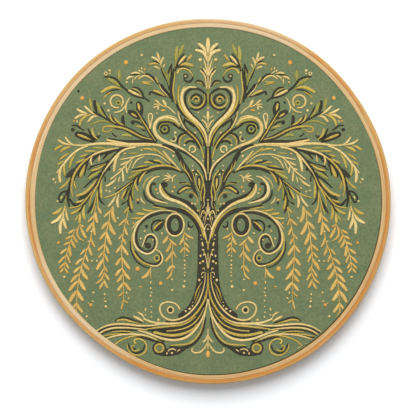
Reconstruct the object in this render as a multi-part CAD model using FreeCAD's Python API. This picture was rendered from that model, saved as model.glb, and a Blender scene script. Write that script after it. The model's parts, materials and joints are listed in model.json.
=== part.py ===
"""A round wall plaque: a clay tree of life inside a bentwood hoop.

The plaque stands upright as it hangs.  X runs to the right, Z runs up and +Y points at the wall.
The origin is on the wall plane, behind the middle of the disc.  Units are millimetres.

Two bentwood plies make the hoop.  A plywood panel and a green clay slab fill it, and the tree is laid
on the slab as strings, leaves and beads of coloured clay.  Each string, leaf or bead is a solid of its
own.  The tree is the same on both sides, so only its right half is written down.
"""
import math
import os

import FreeCAD
import Part

os.makedirs("parts", exist_ok=True)

# Driving dimensions
PLAQUE_RADIUS = 150.0
PLY = 3.6                  # thickness of one bentwood ply
HOOP_DEPTH = 18.0
HOOP_EDGE = 0.7            # rounding of the hoop's edges
RIM_LIP = 1.3              # how far the hoop stands in front of the slab
SLAB_THICKNESS = 3.0
SLAB_EDGE = 0.9            # rounding of the slab's front edge
PANEL_THICKNESS = 6.0
PANEL_GAP = 0.15           # the panel and the slab drop into the hoop with this much air around them

INNER_PLY_RADIUS = PLAQUE_RADIUS - PLY
BORE_RADIUS = INNER_PLY_RADIUS - PLY
FILL_RADIUS = BORE_RADIUS - PANEL_GAP
FACE_Y = -(HOOP_DEPTH - RIM_LIP)
SLAB_BACK_Y = FACE_Y + SLAB_THICKNESS
PANEL_BACK_Y = SLAB_BACK_Y + PANEL_THICKNESS

# How deep the relief is pressed into the slab, and how far each clay stands in front of it
PRESS = 0.25
RELIEF = {"dark": 0.45, "olive": 0.60, "orange": 0.70, "gold": 0.75, "straw": 0.80, "cream": 0.90,
          "bead": 1.00}

# Framing brads that hold the panel
BRAD_COUNT = 8
BRAD_RADIUS = 0.8
BRAD_LENGTH = 11.0
BRAD_BITE = 2.6            # how far a brad is driven into the inner ply

# Strap hanger
HANGER_Z = 104.0           # height of the ring's pivot
WIRE_RADIUS = 1.25
PIVOT_CLEARANCE = 0.05
STRAP_THICKNESS = 1.0
STRAP_WIDTH = 11.0
STRAP_LENGTH = 30.0
RING_CORNER = 2.5
RING_RADIUS = 8.5
SCREW_DROPS = (17.0, 25.5)  # how far the two screws sit below the pivot
SHANK_RADIUS = 1.1
SHANK_LENGTH = 5.0
HEAD_RADIUS = 2.7
HEAD_HEIGHT = 1.4
HEAD_ROUND = 0.7
RECESS_SPAN = 3.0          # the cross recess in a screw head
RECESS_WIDTH = 0.7
RECESS_DEPTH = 0.7
SCREW_CLEARANCE = 0.15     # play of a screw's shank in its hole in the strap
PIVOT_Y = PANEL_BACK_Y + STRAP_THICKNESS + WIRE_RADIUS + PIVOT_CLEARANCE

# Shape of a stroke
CLAY_REACH = FILL_RADIUS - SLAB_EDGE  # strings that run out to the hoop are trimmed off here
SAMPLE_STEP = 2.2          # spacing of the points the side curves run through
THINNEST = 0.30            # no stroke is drawn out finer than this


# ---------------------------------------------------------------- strokes of the relief

def pairs(numbers):
    return [(numbers[i], numbers[i + 1]) for i in range(0, len(numbers), 2)]


def string(width, path):
    """A rolled string along a path; width is one number, or (start, middle, end)."""
    if not isinstance(width, tuple):
        width = (width, width, width)
    return {"kind": "coil", "path": path, "width": width}


def coil(width, *xz):
    """A rolled string through the given points."""
    return string(width, pairs(xz))


def leaf(width, *xz):
    """A pressed leaf from its stalk to its round tip, widest two thirds of the way along."""
    return {"kind": "leaf", "path": pairs(xz), "width": width}


def oval(rx, rz, x, z, tilt=0.0):
    return {"kind": "oval", "path": [(x, z)], "radii": (rx, rz), "tilt": tilt}


def dot(radius, x, z):
    return oval(radius, radius, x, z)


def loop(width, rx, rz, x, z):
    """A closed oval string; rx and rz are measured to the middle of the string."""
    return {"kind": "loop", "path": [(x, z)], "radii": (rx, rz), "width": width}


def chain(radius, *xz):
    """A string of beads of one size."""
    return [dot(radius, x, z) for x, z in pairs(xz)]


def curl(width, x, z, start_radius, end_radius, start_deg, end_deg):
    """A spiral string about (x, z), its radius changing evenly with the angle."""
    count = max(4, int(abs(end_deg - start_deg) / 40.0) + 1)
    path = []
    for i in range(count + 1):
        t = i / count
        angle = math.radians(start_deg + t * (end_deg - start_deg))
        radius = start_radius + t * (end_radius - start_radius)
        path.append((x + radius * math.cos(angle), z + radius * math.sin(angle)))
    return string(width, path)


# ---------------------------------------------------------------- the tree, right half

def trunk():
    core = [
        coil((3.6, 6.0, 7.5), 0, 50, 0, 30, 0, 12),
        coil((7.0, 13.0, 17.0), 0, 16, 0, -8, 0, -30),
        coil((16.0, 17.0, 19.0), 0, -22, 0, -45, 0, -68),
        coil((9.0, 8.5, 7.0), 4.2, -62, 7.2, -76, 13, -88, 21, -94.5),
        coil((3.4, 4.0, 1.6), 1.0, 50, 4.5, 58, 10.5, 66, 17.5, 71.5),
        coil((2.2, 3.4, 2.6), 2.5, 22, 6.5, 31, 15, 38.5, 24, 43),
        coil((2.0, 3.0, 2.0), 12.5, 12.5, 15, 20, 19, 26, 22.3, 34),
        coil((1.6, 3.2, 3.0), 8.5, 4, 12.5, 13, 14.5, 22, 22.5, 35),
        coil((4.0, 3.2, 2.0), 22, 34, 25, 39.5, 30, 44, 37, 46.5),
        coil((4.5, 3.0, 2.0), 9, -9, 16, -1.5, 26, 2.8, 34, 6.8),
        coil((2.6, 3.6, 1.5), 6.0, -28.5, 8.1, -21, 11.2, -15.4, 15.6, -11.0, 21, -8.1, 28, -6.4,
             36, -5.2, 44, -2.9),
        dot(1.9, 14, 4.5),
    ]
    gold = [
        coil((1.0, 1.7, 1.2), 0, 22.5, 0, 33, 0, 44),
        coil(1.4, 3.4, 35.5, 4.5, 40, 6.3, 45.5),
        coil(1.3, 3.7, 2.8, 2.7, 8, 3.6, 14.6, 5.2, 20.5, 8.8, 25.6),
        coil(1.2, 5.4, 0.8, 5.9, 5.4, 5.1, 10.5, 3.9, 15.0),
        coil(0.9, 7.0, 8, 9.2, 12.5, 11.0, 18, 12.6, 23.5),
        leaf(2.2, 6.8, 10.5, 7.4, 19.6),
        coil((0.8, 1.1, 0.5), 13, 16.5, 16, 22, 18.8, 26.5, 20, 31.5),
        coil((0.7, 1.1, 0.5), 17.8, 23.8, 20.2, 27, 22, 30.5, 22.6, 34),
        coil((0.8, 1.2, 0.6), 8.2, -2.5, 8.8, 2.5, 11.2, 6.4, 15, 7.8, 18.6, 7.0),
        leaf(2.3, 13.8, 11.2, 18, 11.2, 20.8, 9.6, 24, 7.3),
        coil((1.1, 1.6, 0.8), 3.3, -29.5, 6.3, -20, 9.4, -14.6, 13.6, -10.2, 18.2, -6.9, 22.6, -5.0),
        coil((0.8, 1.2, 0.7), 2.0, -31, 3.6, -25.5, 4.6, -20.5),
        coil((0.6, 1.5, 1.2), 0, -32, 0, -36, 0, -39.5),
        coil((0.7, 1.3, 0.6), 4.6, -65.5, 7.2, -69.6, 9.6, -74.5, 11.3, -81),
        coil((0.5, 0.9, 0.6), 6.2, -71, 7.6, -76, 9.4, -80.3, 11, -83.8),
        loop(0.8, 0.9, 0.9, 3.5, -8.8),
        coil((0.6, 1.2, 0.6), 1.6, -81.5, 0.9, -74, 0.2, -66, 0.3, -57),
        coil(0.7, 5.2, -2, 6.2, -5.5, 7.0, -9.5),
    ]
    cream = [
        coil((1.2, 2.0, 1.2), 1.2, 17.8, 2.2, 24, 4.6, 29.5, 8.5, 33.8, 14.5, 38.6, 19.5, 42.2),
        coil((1.2, 2.3, 1.9), 1.4, -31.5, 2.7, -25.5, 4.6, -19.8, 7.4, -14.4, 11.6, -9.0, 17, -4.6),
        coil((0.5, 0.8, 0.6), 2.2, 4, 3.4, 1.5, 3.0, -2.5, 4.5, -5.6),
        coil(0.9, 1.6, -12.6, 2.1, -9.2, 3.5, -7.2, 5.2, -9.2, 6.1, -13.4),
        coil((0.8, 0.9, 0.6), 1.4, -4.6, 0.9, -8.2, 1.6, -12.6, 3.2, -19.2),
        coil((0.8, 1.1, 0.9), 0.4, -18.6, 1.9, -20.2, 2.8, -23.5, 1.9, -28.5, 0.9, -34),
        coil((0.6, 0.9, 0.7), 4.0, -39.3, 2.4, -43, 1.4, -47.4, 0.5, -54.5),
        coil(0.8, 0, -42.5, 0, -49, 0, -55),
        coil((0.8, 0.9, 0.6), 2.6, -56.4, 3.6, -54.2, 4.4, -55.4),
        coil(0.9, 3.0, -58.2, 4.6, -58.2, 5.3, -60.0),
        leaf(1.6, 0, -11.5, 0, -4.0),
        leaf(1.0, 3.9, -16, 3.2, -12),
        coil((1.0, 1.4, 0.8), 0, -9.0, 0, -4.0, 0, -0.6),
    ]
    beads = [
        dot(0.9, 0, 1.2), dot(0.9, 0, -22.8), dot(0.9, 4.3, 33.3), dot(0.9, 9.7, 22.0),
        dot(0.75, 5.8, -27.7), dot(0.75, 5.3, -31.0), oval(0.9, 2.1, 4.5, -35.0, -12),
        oval(1.3, 0.8, 4.1, -39.6), oval(0.8, 1.2, 3.4, -43.6), oval(0.9, 1.2, 6.1, -44.7),
        dot(1.15, 4.2, -49.2), dot(0.95, 6.5, -50.6), dot(0.85, 4.6, -62.0), oval(1.1, 1.3, 7.2, -64.5),
        dot(0.6, 12.5, -82.8), oval(0.85, 1.0, 12.7, -85.7), oval(1.3, 1.1, 15.0, -88.1, -20),
        dot(1.05, 18.3, -90.0), oval(0.6, 1.1, 12.5, 29.2), oval(1.1, 0.75, 12.3, 25.4),
        dot(0.95, 10.4, -2.2), dot(1.0, 13.1, -1.7), dot(0.9, 8.4, -7.4),
        dot(0.85, 0, -14.4),
    ]
    return {"trunk_core": ("dark", core), "trunk_gold": ("gold", gold),
            "trunk_cream": ("cream", cream), "trunk_beads": ("bead", beads)}


def roots():
    dark = [
        coil((2.6, 4.2, 1.5), 1.2, -62, 3.4, -75, 8.5, -86.5, 16, -94.6, 24, -98.4, 34, -98.6),
        coil((2.4, 3.8, 1.2), 0, -76, 4.5, -88, 11, -97, 20, -102.5, 30, -104.6, 41, -104.8, 52, -105.2),
        coil((2.2, 3.8, 1.4), 2.5, -86, 7.5, -96.5, 15, -104.2, 24, -107.4, 35, -107.6, 42, -105.4),
        coil((1.6, 2.6, 1.0), 6.5, -100, 11, -106.5, 19, -110.8, 29, -112.2, 38, -110.2, 46, -107.4),
        coil((1.4, 2.8, 1.8), 2.0, -96, 4.6, -106, 10, -114.6, 17, -119.2, 24, -120.2, 31, -119.4),
        coil((2.0, 6.6, 2.4), 18.5, -120.4, 25, -122.8, 31.5, -123.6, 37.5, -124.2, 43, -124.2),
        loop(1.4, 5.0, 4.9, 40, -120.4),
        coil((1.2, 2.6, 1.2), 36, -114.8, 44, -113.9, 51, -111.9, 58, -111.0),
        coil((1.0, 2.0, 1.2), 54.5, -99.5, 60.5, -97.8, 66, -95.8, 71.5, -95.3, 76, -97.7),
        coil((1.2, 1.5, 2.4), 46, -103.2, 58, -103.3, 70, -102.3, 80, -102.5, 87, -104.6, 92.6, -108.6),
        coil((1.0, 1.4, 1.0), 44, -106.6, 53, -104.9, 62, -105.4, 74, -105, 84, -107.3, 89, -110),
        coil((0.8, 1.2, 2.0), 62, -107.9, 70, -107.7, 79, -109.2, 85, -111.2, 89.4, -111.6),
        coil((0.9, 1.5, 1.3), 52.0, -118, 53.2, -121.7, 56.6, -123.9, 60.2, -124, 63.4, -121.6, 65.6, -117),
        dot(1.5, 30.8, -89.1), dot(1.0, 60.3, -121),
    ]
    gold = [
        coil((1.2, 2.0, 1.4), 0.8, -72, 3.0, -81, 7.5, -88.8, 13, -94.8, 19.5, -98.6, 27, -100.6),
        coil((0.9, 1.7, 1.3), 10, -94.5, 16, -99, 23, -101.6, 32, -102.4, 40, -103.4, 50, -104.6),
        coil((0.8, 1.5, 1.3), 3, -87, 6.5, -93.8, 11.5, -99.8, 18, -103.6, 26, -105.6, 33.8, -106.3),
        coil((1.0, 2.6, 2.2), 8.5, -100, 12.5, -104.6, 19, -108, 27, -109.8, 35, -109.4, 44.2, -107.5),
        coil((0.8, 1.7, 1.2), 3.2, -95, 4.6, -102.5, 7.5, -109.2, 12, -114.4, 18, -117.2, 30.5, -118.1),
        loop(1.9, 3.4, 3.2, 40, -120.4),
        dot(0.5, 40, -120.6),
        coil((0.8, 1.6, 1.3), 38.5, -115, 46, -112.1, 53, -110, 60, -110.2, 68, -112.4, 74, -115.6,
             78.4, -119.6),
        leaf(1.9, 56, -100.2, 63.5, -98.3, 69, -97, 75.2, -97.7),
        coil((0.7, 1.3, 0.8), 63, -108.8, 70, -108.5, 78, -109, 84, -110.2, 89, -110.5),
        coil((0.8, 1.2, 0.8), 60, -108.3, 65, -106.9, 72, -106.5, 79, -107.1),
        coil((2.0, 1.5, 1.0), 59.6, -116.2, 60.4, -113.9, 57.5, -112.7, 53.6, -113.8, 50.7, -117.5,
             50.8, -122, 54, -125.4, 59, -126.2, 63.6, -124, 66, -120, 66.2, -117.4),
        coil((1.6, 1.4, 0.9), 56.5, -121.2, 58.2, -122.5, 60.6, -122.6, 62.8, -120.8, 62.4, -118.6,
             60.8, -118.0, 60.2, -119.4),
    ]
    cream = [
        coil((0.9, 1.8, 1.5), 2.3, -58.5, 2.6, -66, 4.6, -74.5, 8.2, -83, 13.6, -90, 20, -94.9, 27.5, -97.4,
             33.5, -96.6, 38, -93, 39.6, -88, 38, -84.2, 33.5, -82.6, 28.5, -83.2, 25, -85.4, 23.3, -88.4),
        loop(1.4, 2.4, 2.5, 30.8, -89.1),
        coil((1.0, 2.4, 1.4), 0.8, -83, 2.8, -91.5, 6.5, -99.4, 11.5, -106.4, 18, -111.5, 26, -113.7,
             34, -113.3, 42, -111, 50, -107.9, 57, -105.9),
        coil((1.4, 1.2, 1.0), 0.2, -80.5, 1.4, -87.5, 2.8, -94, 4.0, -100),
        coil((1.2, 2.2, 1.6), 17, -97.6, 24, -99.8, 33, -100.3, 41, -99.9, 47, -98.7, 52.4, -96.4),
        leaf(1.7, 51.8, -96.8, 54.4, -92.8, 58.0, -90.8),
        leaf(2.3, 52.8, -98.7, 57.0, -96.2, 61.4, -94.2),
        coil((1.4, 1.9, 1.2), 38, -100.6, 46, -101.8, 56, -102, 66, -100.9, 76, -100.7, 85, -102.7,
             93, -107.2),
        coil((1.0, 1.8, 1.4), 50, -105.4, 58, -104.4, 68, -103.6, 78, -103.9, 85.5, -106.2, 91, -109.8),
        coil((1.2, 1.7, 1.3), 43, -113.3, 49, -110.6, 56, -109.2, 66, -109, 76, -110.3, 86.6, -113.5),
        leaf(1.3, 22.6, -121.0, 25.5, -123.3),
        coil((0.9, 1.3, 1.1), 26.4, -122.0, 28.6, -121.0, 31, -121.3, 32.8, -122.8),
    ]
    beads = [
        oval(1.1, 1.0, 29.6, -124.3), oval(0.9, 1.1, 33.7, -124.7), dot(1.15, 40.6, -97.2),
        oval(1.3, 1.0, 80.8, -117.0, 30), oval(1.7, 1.1, 75.0, -120.4, 30),
        oval(0.75, 1.6, 51.3, -88.7, 10), dot(0.75, 51.2, -93.3),
    ]
    return {"root_shade": ("dark", dark), "root_gold": ("gold", gold),
            "root_cream": ("cream", cream), "root_beads": ("bead", beads)}


def foot_sprig():
    cream = [
        coil(1.1, 0, -104.8, 0, -112, 0, -121),
        leaf(1.7, 0.4, -109.4, 1.7, -113.2, 4.4, -115.8),
        coil((0.8, 1.7, 1.5), 0.3, -115.6, 2.6, -120, 6.4, -123.6, 10.4, -124.2, 12.8, -123.2,
             12.8, -120.9),
    ]
    gold = [oval(1.8, 3.0, 0, -125.3)]
    return {"foot_sprig": ("cream", cream), "foot_bud": ("orange", gold)}


def heart():
    dark = [
        coil((1.2, 2.0, 1.3), 0.8, 55.5, 3.6, 61, 8, 66.8, 13, 71.4, 17, 76.8, 18.9, 82.5, 18.2, 88,
             15, 91.6, 10.5, 92.8, 5.8, 91.4, 2.4, 88.2, 1.1, 84, 2.2, 79.8, 5.4, 76.6, 10, 75.2,
             14.2, 76.6),
        curl((1.4, 1.9, 1.2), 9.6, 83.4, 4.6, 4.4, 20, 330),
        curl((1.5, 1.3, 1.0), 9.4, 83.4, 1.3, 1.7, 0, 230),
        coil((1.6, 2.2, 1.4), 3.0, 46, 3.8, 51.4, 5.3, 55.6, 7.8, 59.2, 11.0, 62.8, 14.2, 66.2, 17.6, 69.4,
             21.2, 72.4, 24.2, 76.2, 26.2, 81, 28.4, 86.6),
        coil((1.2, 1.4, 0.9), 5.0, 46, 10, 53.5, 16, 58.8, 20.5, 64.5, 22.8, 71),
        coil((1.5, 2.1, 1.4), 6.8, 43.6, 10.4, 49, 13.8, 53.4, 18.6, 57.4, 22.6, 59.9, 26.6, 62.6,
             31, 64.7, 36, 65.5, 39.6, 63.9, 41.3, 60.2),
        coil((1.3, 1.8, 1.2), 11.6, 61.6, 15.4, 64.6, 19.2, 67.4),
        coil((1.3, 1.5, 0.9), 19.4, 68, 19.4, 65, 18.8, 61.8),
        coil((1.4, 1.7, 1.1), 18.6, 56.2, 22.5, 54.8, 24.8, 51.6, 25.2, 47.5),
        coil((1.2, 1.6, 1.1), 11, 48.3, 14, 49.6, 17, 48.8, 19, 46.2),
        curl((1.5, 1.9, 1.3), 35.5, 59.3, 3.5, 3.5, 30, 360),
        dot(1.0, 35.5, 59.3),
        dot(0.9, 28.2, 51.4),
    ]
    gold = [
        coil((0.9, 1.7, 1.0), 3.0, 88, 2.7, 84, 3.8, 80.3, 6.6, 77.6, 10, 76.8, 13.2, 78, 15.4, 80.8,
             15.8, 84, 14.4, 86.7),
        curl((1.5, 1.5, 1.0), 9.5, 83.4, 3.0, 1.0, 0, 360),
        coil((1.1, 2.1, 1.3), 1.6, 48, 3.1, 53, 6.5, 59.0, 10.7, 64.0, 14.4, 67.5, 17.8, 70.7, 21.0, 74.8,
             23.3, 79.6, 24.4, 85, 24.3, 90.5, 23.5, 94.6),
        coil((1.0, 1.5, 1.0), 26.2, 80.3, 27.6, 85, 28.6, 90, 28.3, 95.5, 27.5, 101, 27.3, 106.5),
        coil((0.9, 1.5, 1.1), 5.8, 44.5, 8.2, 49, 11.5, 53, 15, 56.3, 18, 58.9),
        coil((1.0, 1.4, 1.1), 18.8, 54.8, 21.8, 53, 23.4, 49.8, 23.2, 45.4),
        coil((0.9, 1.4, 1.0), 12.5, 50.6, 15.6, 51.3, 18.2, 50.4, 19.4, 48.6),
    ]
    olive = [
        coil((1.1, 2.0, 1.3), 23.8, 61.6, 27.0, 65.0, 31.4, 66.6, 36, 66.9, 39.0, 65.8),
        coil((0.7, 1.1, 0.8), 29.2, 63.0, 32.4, 63.9, 36.2, 63.9, 39.2, 62.2, 40.1, 58.6, 38.2, 55.2),
        curl((1.0, 1.2, 1.0), 35.5, 59.3, 2.2, 2.1, 60, 380),
        coil((0.9, 1.4, 0.8), 4.2, 45.6, 4.8, 50, 6.6, 53.6),
        coil((0.5, 0.8, 0.5), 12.2, 64.2, 15, 66.2, 18.4, 68.6),
        coil((0.5, 0.8, 0.5), 10.2, 89.0, 10.4, 91.2),
    ]
    cream = [
        coil((1.2, 3.2, 1.4), 0.7, 45.5, 1.1, 51, 2.1, 55.4, 4.7, 60.4, 9.0, 65.2, 14.1, 69.7, 18.3, 74.8,
             20.8, 80, 21.6, 85.4, 20.9, 89.2, 18.4, 92.2, 14.8, 93.8, 10, 93.6),
        coil((0.8, 1.3, 0.9), 18.2, 94.6, 20.4, 92.4, 21.8, 89.2),
        coil((0.9, 1.5, 1.1), 24.4, 74, 23.6, 69.6, 22, 65.2, 19.8, 61.2, 18, 58.8),
        coil((1.6, 3.0, 1.5), 18.5, 41.6, 26, 45.5, 33, 48.2, 39, 51.4, 43, 55.6, 44.1, 60.4, 42.6, 65,
             39.4, 68.0, 35, 69.0, 30.4, 68.4, 26.6, 66.4, 23.4, 63.0),
        coil((0.7, 1.1, 0.8), 24.6, 66.2, 28, 69.2, 32.6, 70.4, 37.5, 69.9),
        coil(1.3, 27.3, 53.7, 26.1, 51.6, 27.2, 49.7, 29, 49.3, 30.3, 50.2),
        coil(1.5, 13.2, 40.4, 10.8, 41.3, 10.5, 43.8, 12.8, 45.6, 15.1, 44.2, 15.2, 41.6),
    ]
    beads = [
        dot(1.2, 26.8, 56.4), dot(1.05, 10.3, 56.4), dot(0.85, 8.0, 73.0), dot(1.0, 19.2, 46.2),
        dot(0.8, 41.9, 72.3),
    ]
    return {"heart_shade": ("dark", dark), "heart_gold": ("gold", gold), "heart_olive": ("olive", olive),
            "heart_cream": ("cream", cream), "heart_beads": ("bead", beads)}


def heart_sprigs():
    cream = [
        leaf(2.7, 0, 65.5, 0, 74.4), coil(1.0, 0, 57.5, 0, 61, 0, 67),
        coil((0.8, 1.5, 1.2), 0.8, 60.5, 2.2, 64.6, 4.8, 66.9), leaf(1.3, 1.6, 67.8, 4.2, 70.8),
        oval(1.0, 1.0, 0, 76.6),
        coil((1.1, 1.3, 1.2), 27.2, 72.4, 31, 76, 34.8, 78.6), leaf(2.6, 34, 77.8, 37.2, 83.6),
        coil((0.9, 1.3, 1.2), 34.6, 77.4, 37.6, 78.6, 40.2, 80.4), leaf(1.9, 39.6, 80, 43.4, 83.5),
        leaf(1.3, 39.2, 79.6, 45.2, 79.8), leaf(1.5, 39.6, 78.9, 45.2, 76.9),
        leaf(1.7, 40.6, 79.4, 41.2, 74.8),
        coil(1.4, 47.4, 60, 46.8, 64.6, 45.6, 69.0, 46.0, 71.5, 47.2, 72.2),
        coil(1.4, 47.2, 72.2, 48.7, 71.0, 48.8, 67.4, 48.0, 63.2, 47.8, 60.4),
    ]
    gold = [leaf(1.9, 34.6, 75, 38.8, 74.5)]
    return {"heart_sprigs": ("cream", cream), "heart_leaflets": ("orange", gold)}


def finial():
    cream = [
        leaf(3.8, 0, 121.5, 0, 134.5), leaf(2.9, 1.3, 120.5, 3.4, 125.6, 8.3, 130.0),
        leaf(3.0, 0.9, 115.2, 2.2, 120.0, 5.6, 123.2, 10.8, 124.3),
        coil((1.0, 1.4, 0.8), 0.4, 104, 1.6, 110, 2.6, 113.6, 3.6, 117),
        leaf(1.5, 0.9, 103.0, 2.4, 106.8, 4.4, 109.6), leaf(1.7, 1.3, 97.0, 2.8, 103.4, 6.6, 107.6),
        coil((1.3, 1.3, 0.7), 1.2, 93, 1.7, 98, 2.3, 102),
        coil((0.7, 1.3, 0.9), 0, 92.5, 0, 108, 0, 122),
    ]
    stem = [coil((0.7, 1.0, 0.7), 0.2, 79, 0.4, 86, 0.5, 93)]
    shade = [
        coil((1.0, 1.8, 0.8), 2.6, 94.6, 5.2, 98.2, 8.2, 99.2, 10.4, 97.8),
        coil((0.8, 1.2, 0.7), 1.4, 101, 2.7, 105.4, 5.2, 109),
        coil((0.8, 1.2, 0.7), 1.9, 118.6, 3.6, 122.7, 7.8, 126.4),
    ]
    gold = [
        dot(0.75, 6.1, 110.2), coil((0.6, 1.0, 0.7), 4.2, 95.4, 6.6, 97.7, 9.6, 97.3), dot(0.6, 4.0, 112.4),
    ]
    return {"finial_cream": ("cream", cream), "finial_stem": ("olive", stem),
            "finial_shade": ("dark", shade), "finial_gold": ("gold", gold)}


def crown():
    dark = [
        coil((1.5, 2.6, 1.3), 29.0, 82, 30.3, 89, 30.3, 96, 29.6, 102, 27.6, 108, 25.0, 113.6, 22.4, 118,
             19.8, 120.8),
        coil((1.3, 1.7, 0.8), 27.2, 109.8, 24, 110.6, 20, 110.5, 15.2, 109.2),
        coil((0.6, 1.3, 1.0), 17.6, 118.4, 20, 114.2, 23.5, 111.6, 26.6, 109.8),
        curl((1.0, 1.8, 0.9), 16.6, 101.9, 4.2, 3.2, 165, 350),
        curl((0.9, 1.0, 0.8), 18.4, 102.9, 1.7, 1.7, 20, 350),
        coil((1.0, 1.4, 0.9), 32, 92, 33.2, 98, 36.2, 103.4, 38.4, 109.2),
        coil((1.2, 1.5, 1.0), 30.6, 105, 30.1, 109.4, 29.9, 112.6),
        coil((0.8, 1.4, 1.0), 30.3, 112, 31.5, 109, 32.6, 105.6),
        coil((1.3, 1.8, 1.3), 30.6, 84.8, 35.0, 90, 38.6, 94.9, 41.4, 97.4, 44.6, 101.2, 48.6, 104.4,
             53.2, 104.9),
        coil((1.0, 1.4, 0.9), 31.2, 87.4, 35, 91.8, 38.2, 96.4),
        coil((1.0, 1.5, 1.9), 34.6, 86.0, 39, 87.2, 43.5, 88.6, 46.4, 90.0, 47.8, 88.2),
        coil((0.6, 0.9, 0.5), 56, 104, 60, 104.1, 64.2, 103.6),
        coil((0.6, 1.0, 0.6), 40.6, 113.2, 43, 114.9, 45.8, 115.3),
    ]
    olive = [
        leaf(3.3, 24.0, 119.6, 22.2, 123.8, 20.0, 128.9), leaf(3.3, 26.2, 113.5, 26.1, 121, 25.2, 127.9),
        coil((0.8, 1.3, 1.0), 27.6, 108, 26.8, 113, 25.2, 117.6, 23.6, 120.6),
        coil((0.9, 1.4, 1.0), 32.2, 95.4, 33.9, 101.4, 36.6, 107, 38.6, 111.4),
        coil((0.8, 1.3, 0.7), 32.9, 98.2, 31.6, 102.6, 30.8, 108.4),
        coil((0.8, 1.3, 0.8), 33.2, 100, 33.5, 104, 34.0, 107.8),
    ]
    gold = [
        leaf(2.2, 17.2, 115.4, 15.4, 117.8, 13.2, 120.7), leaf(3.0, 23.0, 111.5, 18.6, 113, 12.0, 111.2),
        coil((2.2, 1.6, 0.7), 25.0, 105.6, 23.2, 108.3, 19.8, 109.2, 16.0, 107.8, 13.6, 105.2, 12.5, 102.6),
        leaf(1.7, 40.8, 96.8, 43.4, 102.2), leaf(2.4, 35.6, 86.7, 39.8, 89.4, 45.2, 91.2),
        leaf(1.7, 46.2, 98.4, 50, 97.8, 54.8, 98.4), leaf(1.5, 46, 95.6, 50, 96.6, 54, 97.0),
        leaf(1.8, 40, 112.4, 44, 113.4, 48.8, 112.3),
    ]
    cream = [
        leaf(2.5, 24.4, 112.4, 21.6, 116, 18.0, 119.6),
        leaf(2.1, 38.9, 111.2, 38.4, 114.8, 36.2, 118.6), leaf(2.1, 39.6, 115.4, 41.8, 122.5),
        leaf(2.2, 39.6, 113.8, 42.4, 116.8, 46.6, 118.7), leaf(1.8, 39.4, 108.4, 41.8, 110.0, 44.9, 110.8),
        leaf(1.5, 37.0, 109.2, 36.2, 111.4, 35.0, 112.9),
        coil((0.7, 1.1, 0.7), 32.6, 86.2, 36.2, 89.8, 38.8, 93, 40.2, 96.4),
        coil((0.9, 1.7, 1.4), 44.6, 98.6, 47.4, 101.6, 51.4, 103.2, 54.6, 102.3, 56.8, 100.6),
        leaf(1.9, 55.4, 104.7, 59, 105.7, 63.2, 104.9), leaf(1.5, 60.9, 99.6, 58.8, 102.2, 55.8, 103.6),
        leaf(2.0, 60.6, 102.2, 64, 102.2, 67, 100.0), leaf(1.3, 61.8, 100.9, 62, 96.6),
        coil((0.8, 1.0, 0.7), 55.6, 107.3, 53.2, 105.6, 51.8, 104.8),
    ]
    beads = [
        dot(1.5, 6.4, 116.3), dot(0.85, 18.4, 102.9), dot(1.15, 54.3, 120.0), dot(1.0, 66.6, 97.8),
        dot(1.2, 80.6, 107.4), dot(0.85, 80.4, 104.9), oval(0.7, 1.2, 54.5, 109.1),
        oval(0.7, 1.1, 56.4, 107.2, -20),
    ]
    return {"crown_shade": ("dark", dark), "crown_olive": ("olive", olive), "crown_gold": ("gold", gold),
            "crown_cream": ("cream", cream), "crown_beads": ("bead", beads)}


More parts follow.
